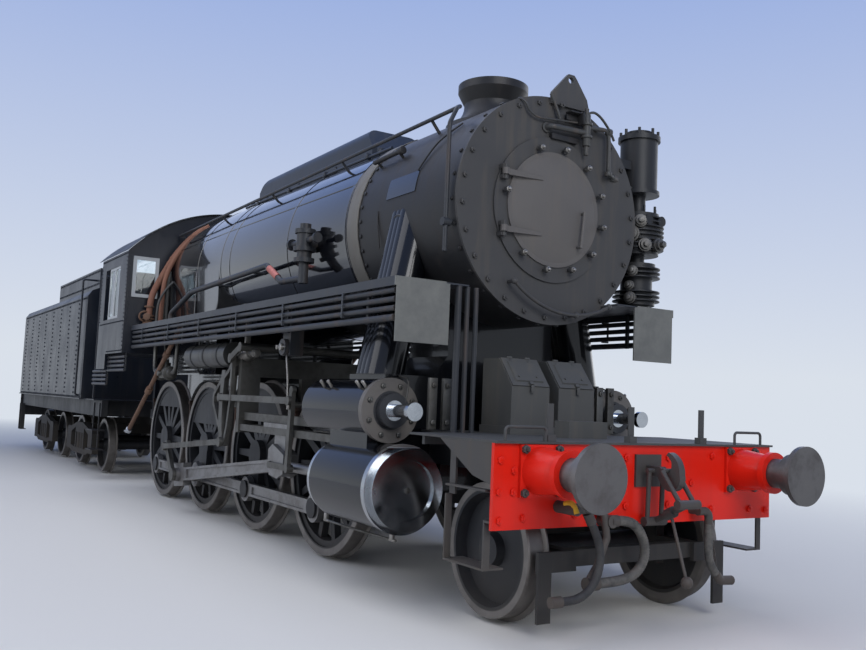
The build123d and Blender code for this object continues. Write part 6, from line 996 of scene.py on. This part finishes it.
lagging = enamel("rust_stained_pipe_lagging", "6E4C42", "86614F", "3E2E28", 0.8, 0.6, 0.1, 0.004)
lagged = [
    pipe(0.04, (1.18, -0.48, 3.53), (1.1, -0.6, 3.45), (1.06, -0.83, 3.15), (1.04, -1.0, 2.8),
         (1.03, -1.09, 2.6), (1.02, -1.11, 2.4), (1.02, -1.11, 2.3)),
    pipe(0.03, (1.32, -0.48, 3.54), (1.24, -0.62, 3.43), (1.18, -0.84, 3.15), (1.14, -0.96, 2.85),
         (1.13, -0.985, 2.6), (1.13, -0.99, 2.174)),
]
wrap_top, wrap_foot = Vector((1.06, -0.83, 3.15)), Vector((1.03, -1.09, 2.6))
half = Vector((-0.03, -0.26, -0.55)).normalized() * 0.01
for number in range(7):
    centre = wrap_top.lerp(wrap_foot, 0.12 + 0.12 * number)
    lagged.append(turned(centre - half, centre + half, 0.0435, sides=20))
settle("cab_front_lagged_pipes", lagging, lagged)
VALVE_X, VALVE_Y = 1.02, -1.11
cluster = [
    turned((VALVE_X, VALVE_Y, 2.29), (1.12, -1.16, 2.29), 0.026),
    turned((1.11, -1.155, 2.29), (1.135, -1.168, 2.29), 0.046),
    pipe(0.012, (1.02, -1.15, 2.23), (1.03, -1.23, 2.25), (1.04, -1.24, 2.33),
         (1.04, -1.18, 2.37), (1.03, -1.12, 2.36)),
]
for low, high, radius in (
    (2.174, 2.33, 0.046), (2.2, 2.222, 0.074), (2.262, 2.28, 0.08), (2.3, 2.318, 0.074),
    (2.42, 2.44, 0.062),
):
    cluster.append(turned((VALVE_X, VALVE_Y, low), (VALVE_X, VALVE_Y, high), radius))
settle("cab_front_valve", raw_rust, cluster)
posts = [
    pipe(0.022, (1.07, -0.9, 2.174), (1.07, -0.9, 2.5), (1.07, -0.9, 2.8), (1.08, -0.84, 2.96),
         (1.09, -0.8, 3.05)),
    pipe(0.016, (1.2, -1.06, 2.174), (1.2, -1.06, 2.35), (1.2, -1.04, 2.52), (1.22, -0.94, 2.7),
         (1.24, -0.88, 2.76)),
    plate((1.02, -0.96, 2.174), (1.028, -0.892, 2.94)),
]
settle("cab_front_pipes", worn_pipe, posts)

# Buffer beam and buffers
# Steel plate beam and cast stocks in bright red gloss, and turned heads worn to grey steel. The
# coupling and the hoses' ends are forged, with thin black paint worn to a soft sheen.
beam_red = enamel("red_gloss_enamel", "DE2413", "CE1E12", "7A352B", 0.3, 0.15, 0.2)
dress(beam_red, "buffer_beam", "front_buffers")
head_steel = machined("greased_buffer_steel", "6E6B69", "453C36", 0.42, 0.6)
dress(head_steel, "front_buffer_heads")
hook_steel = enamel("worn_paint_on_forged_steel", "4E4C4B", "3B3836", "55493E", 0.4)
dress(hook_steel, "front_coupling", "hose_fittings")

# Beam bolts, stock bolts, cock and chain
# Hexagon bolts under the red paint, darker nuts on the stocks' flanges, a taped cock handle in
# yellow, and the short chain that keeps the spare hose's end off the track.
BEAM_X = 8.771
beam_bolts = [
    (y * side, z) for side in (-1, 1)
    for y, z in (
        (1.15, 1.043), (1.054, 0.985), (1.056, 0.864), (1.155, 0.866), (1.147, 0.705), (0.978, 0.715),
        (0.185, 1.06), (0.185, 0.765), (0.595, 1.073), (0.595, 0.725), (0.4, 0.9),
    )
]
set_out(nut(0.04, 0.016, 0.006), [((BEAM_X, y, z), (1, 0, 0)) for y, z in beam_bolts])
settle("beam_bolts", beam_red)
stock_bolts = [
    ((BEAM_X + 0.022, side * 0.87 + dy, 0.982 + dz), (1, 0, 0))
    for side in (-1, 1) for dy in (-0.124, 0.124) for dz in (-0.124, 0.124)
]
set_out(nut(0.044, 0.024, 0.014), stock_bolts)
settle("stock_flange_nuts", hook_steel)
yellow = enamel("faded_yellow_tape", "D9B23A", "C49A2C", "5A4632", 0.6, 0.5, 0.2)
cock = [
    pipe(0.016, (8.86, -0.742, 0.8), (8.9, -0.742, 0.815), (8.94, -0.742, 0.8), (8.955, -0.735, 0.755)),
]
settle("cock_handle", yellow, cock)
CHAIN_TOP, CHAIN_END = Vector((8.764, 0.59, 0.672)), Vector((8.85, 0.566, 0.348))
CHAIN_LINKS = 18
chain_line = CHAIN_END - CHAIN_TOP
links = []
for first in (0, 1):
    deselect()
    bpy.ops.mesh.primitive_torus_add(
        major_segments=10, minor_segments=5, major_radius=0.0085, minor_radius=0.0024,
        rotation=(math.pi / 2, 0, first * math.pi / 2),
    )
    bpy.ops.object.transform_apply(location=False, rotation=True, scale=False)
    bpy.context.object.scale = (1.0, 1.0, 1.35)
    bpy.ops.object.transform_apply(location=False, rotation=False, scale=True)
    places = [
        (CHAIN_TOP + chain_line * number / (CHAIN_LINKS - 1), chain_line)
        for number in range(first, CHAIN_LINKS, 2)
    ]
    links.append(set_out(bpy.context.object, places))
settle("hose_chain", hook_steel, links)

# Tender
# Tank of riveted plates, brushed gloss black with a blue grey sheen painted into its colour. Water
# and dust streak it from the top down.
tender_black_painted_sheen = enamel("gloss_black_tender_enamel_painted_sheen", "14181F", "1C212A", "3E3831", 0.3, 0.25, 1.4, 0.0004)
dress(tender_black_painted_sheen, "tender_tank", "filler_lid", "tender_fittings")

# Tender rivets
# Snap head rivets over the tank's inner stays and along the plates' edges, closed hot and painted
# over, so they show as rows of small soft domes.
TANK_SIDE, BUNKER_SIDE, TANK_BACK_X = 1.31, 1.15, -8.0
RIVET_FOOT, RIVET_STEP, RIVETS_UP = 1.27, 0.0745, 20
places = []
for side in (-1, 1):
    outward = (0, side, 0)
    for column in range(8):
        for number in range(RIVETS_UP):
            x, z = -2.45 - 0.75 * column, RIVET_FOOT + RIVET_STEP * number
            places.append(((x, side * TANK_SIDE, z), outward))
    for number in range(56):
        for z in (1.205, 2.748):
            places.append(((-1.9 - 0.108 * number, side * TANK_SIDE, z), outward))
    for number in range(30):
        for z in (2.99, 3.19):
            places.append(((-1.9 - 0.11 * number, side * BUNKER_SIDE, z), outward))
for y in (-1.2, -0.72, -0.24, 0.24, 0.72, 1.2):
    for number in range(RIVETS_UP):
        places.append(((TANK_BACK_X, y, RIVET_FOOT + RIVET_STEP * number), (-1, 0, 0)))
set_out(rivet(0.016, 0.01), places)
# The rivets take the tank's enamel, with its blue grey sheen painted into the colour.
settle("tender_rivets", tender_black_painted_sheen, body="tender")
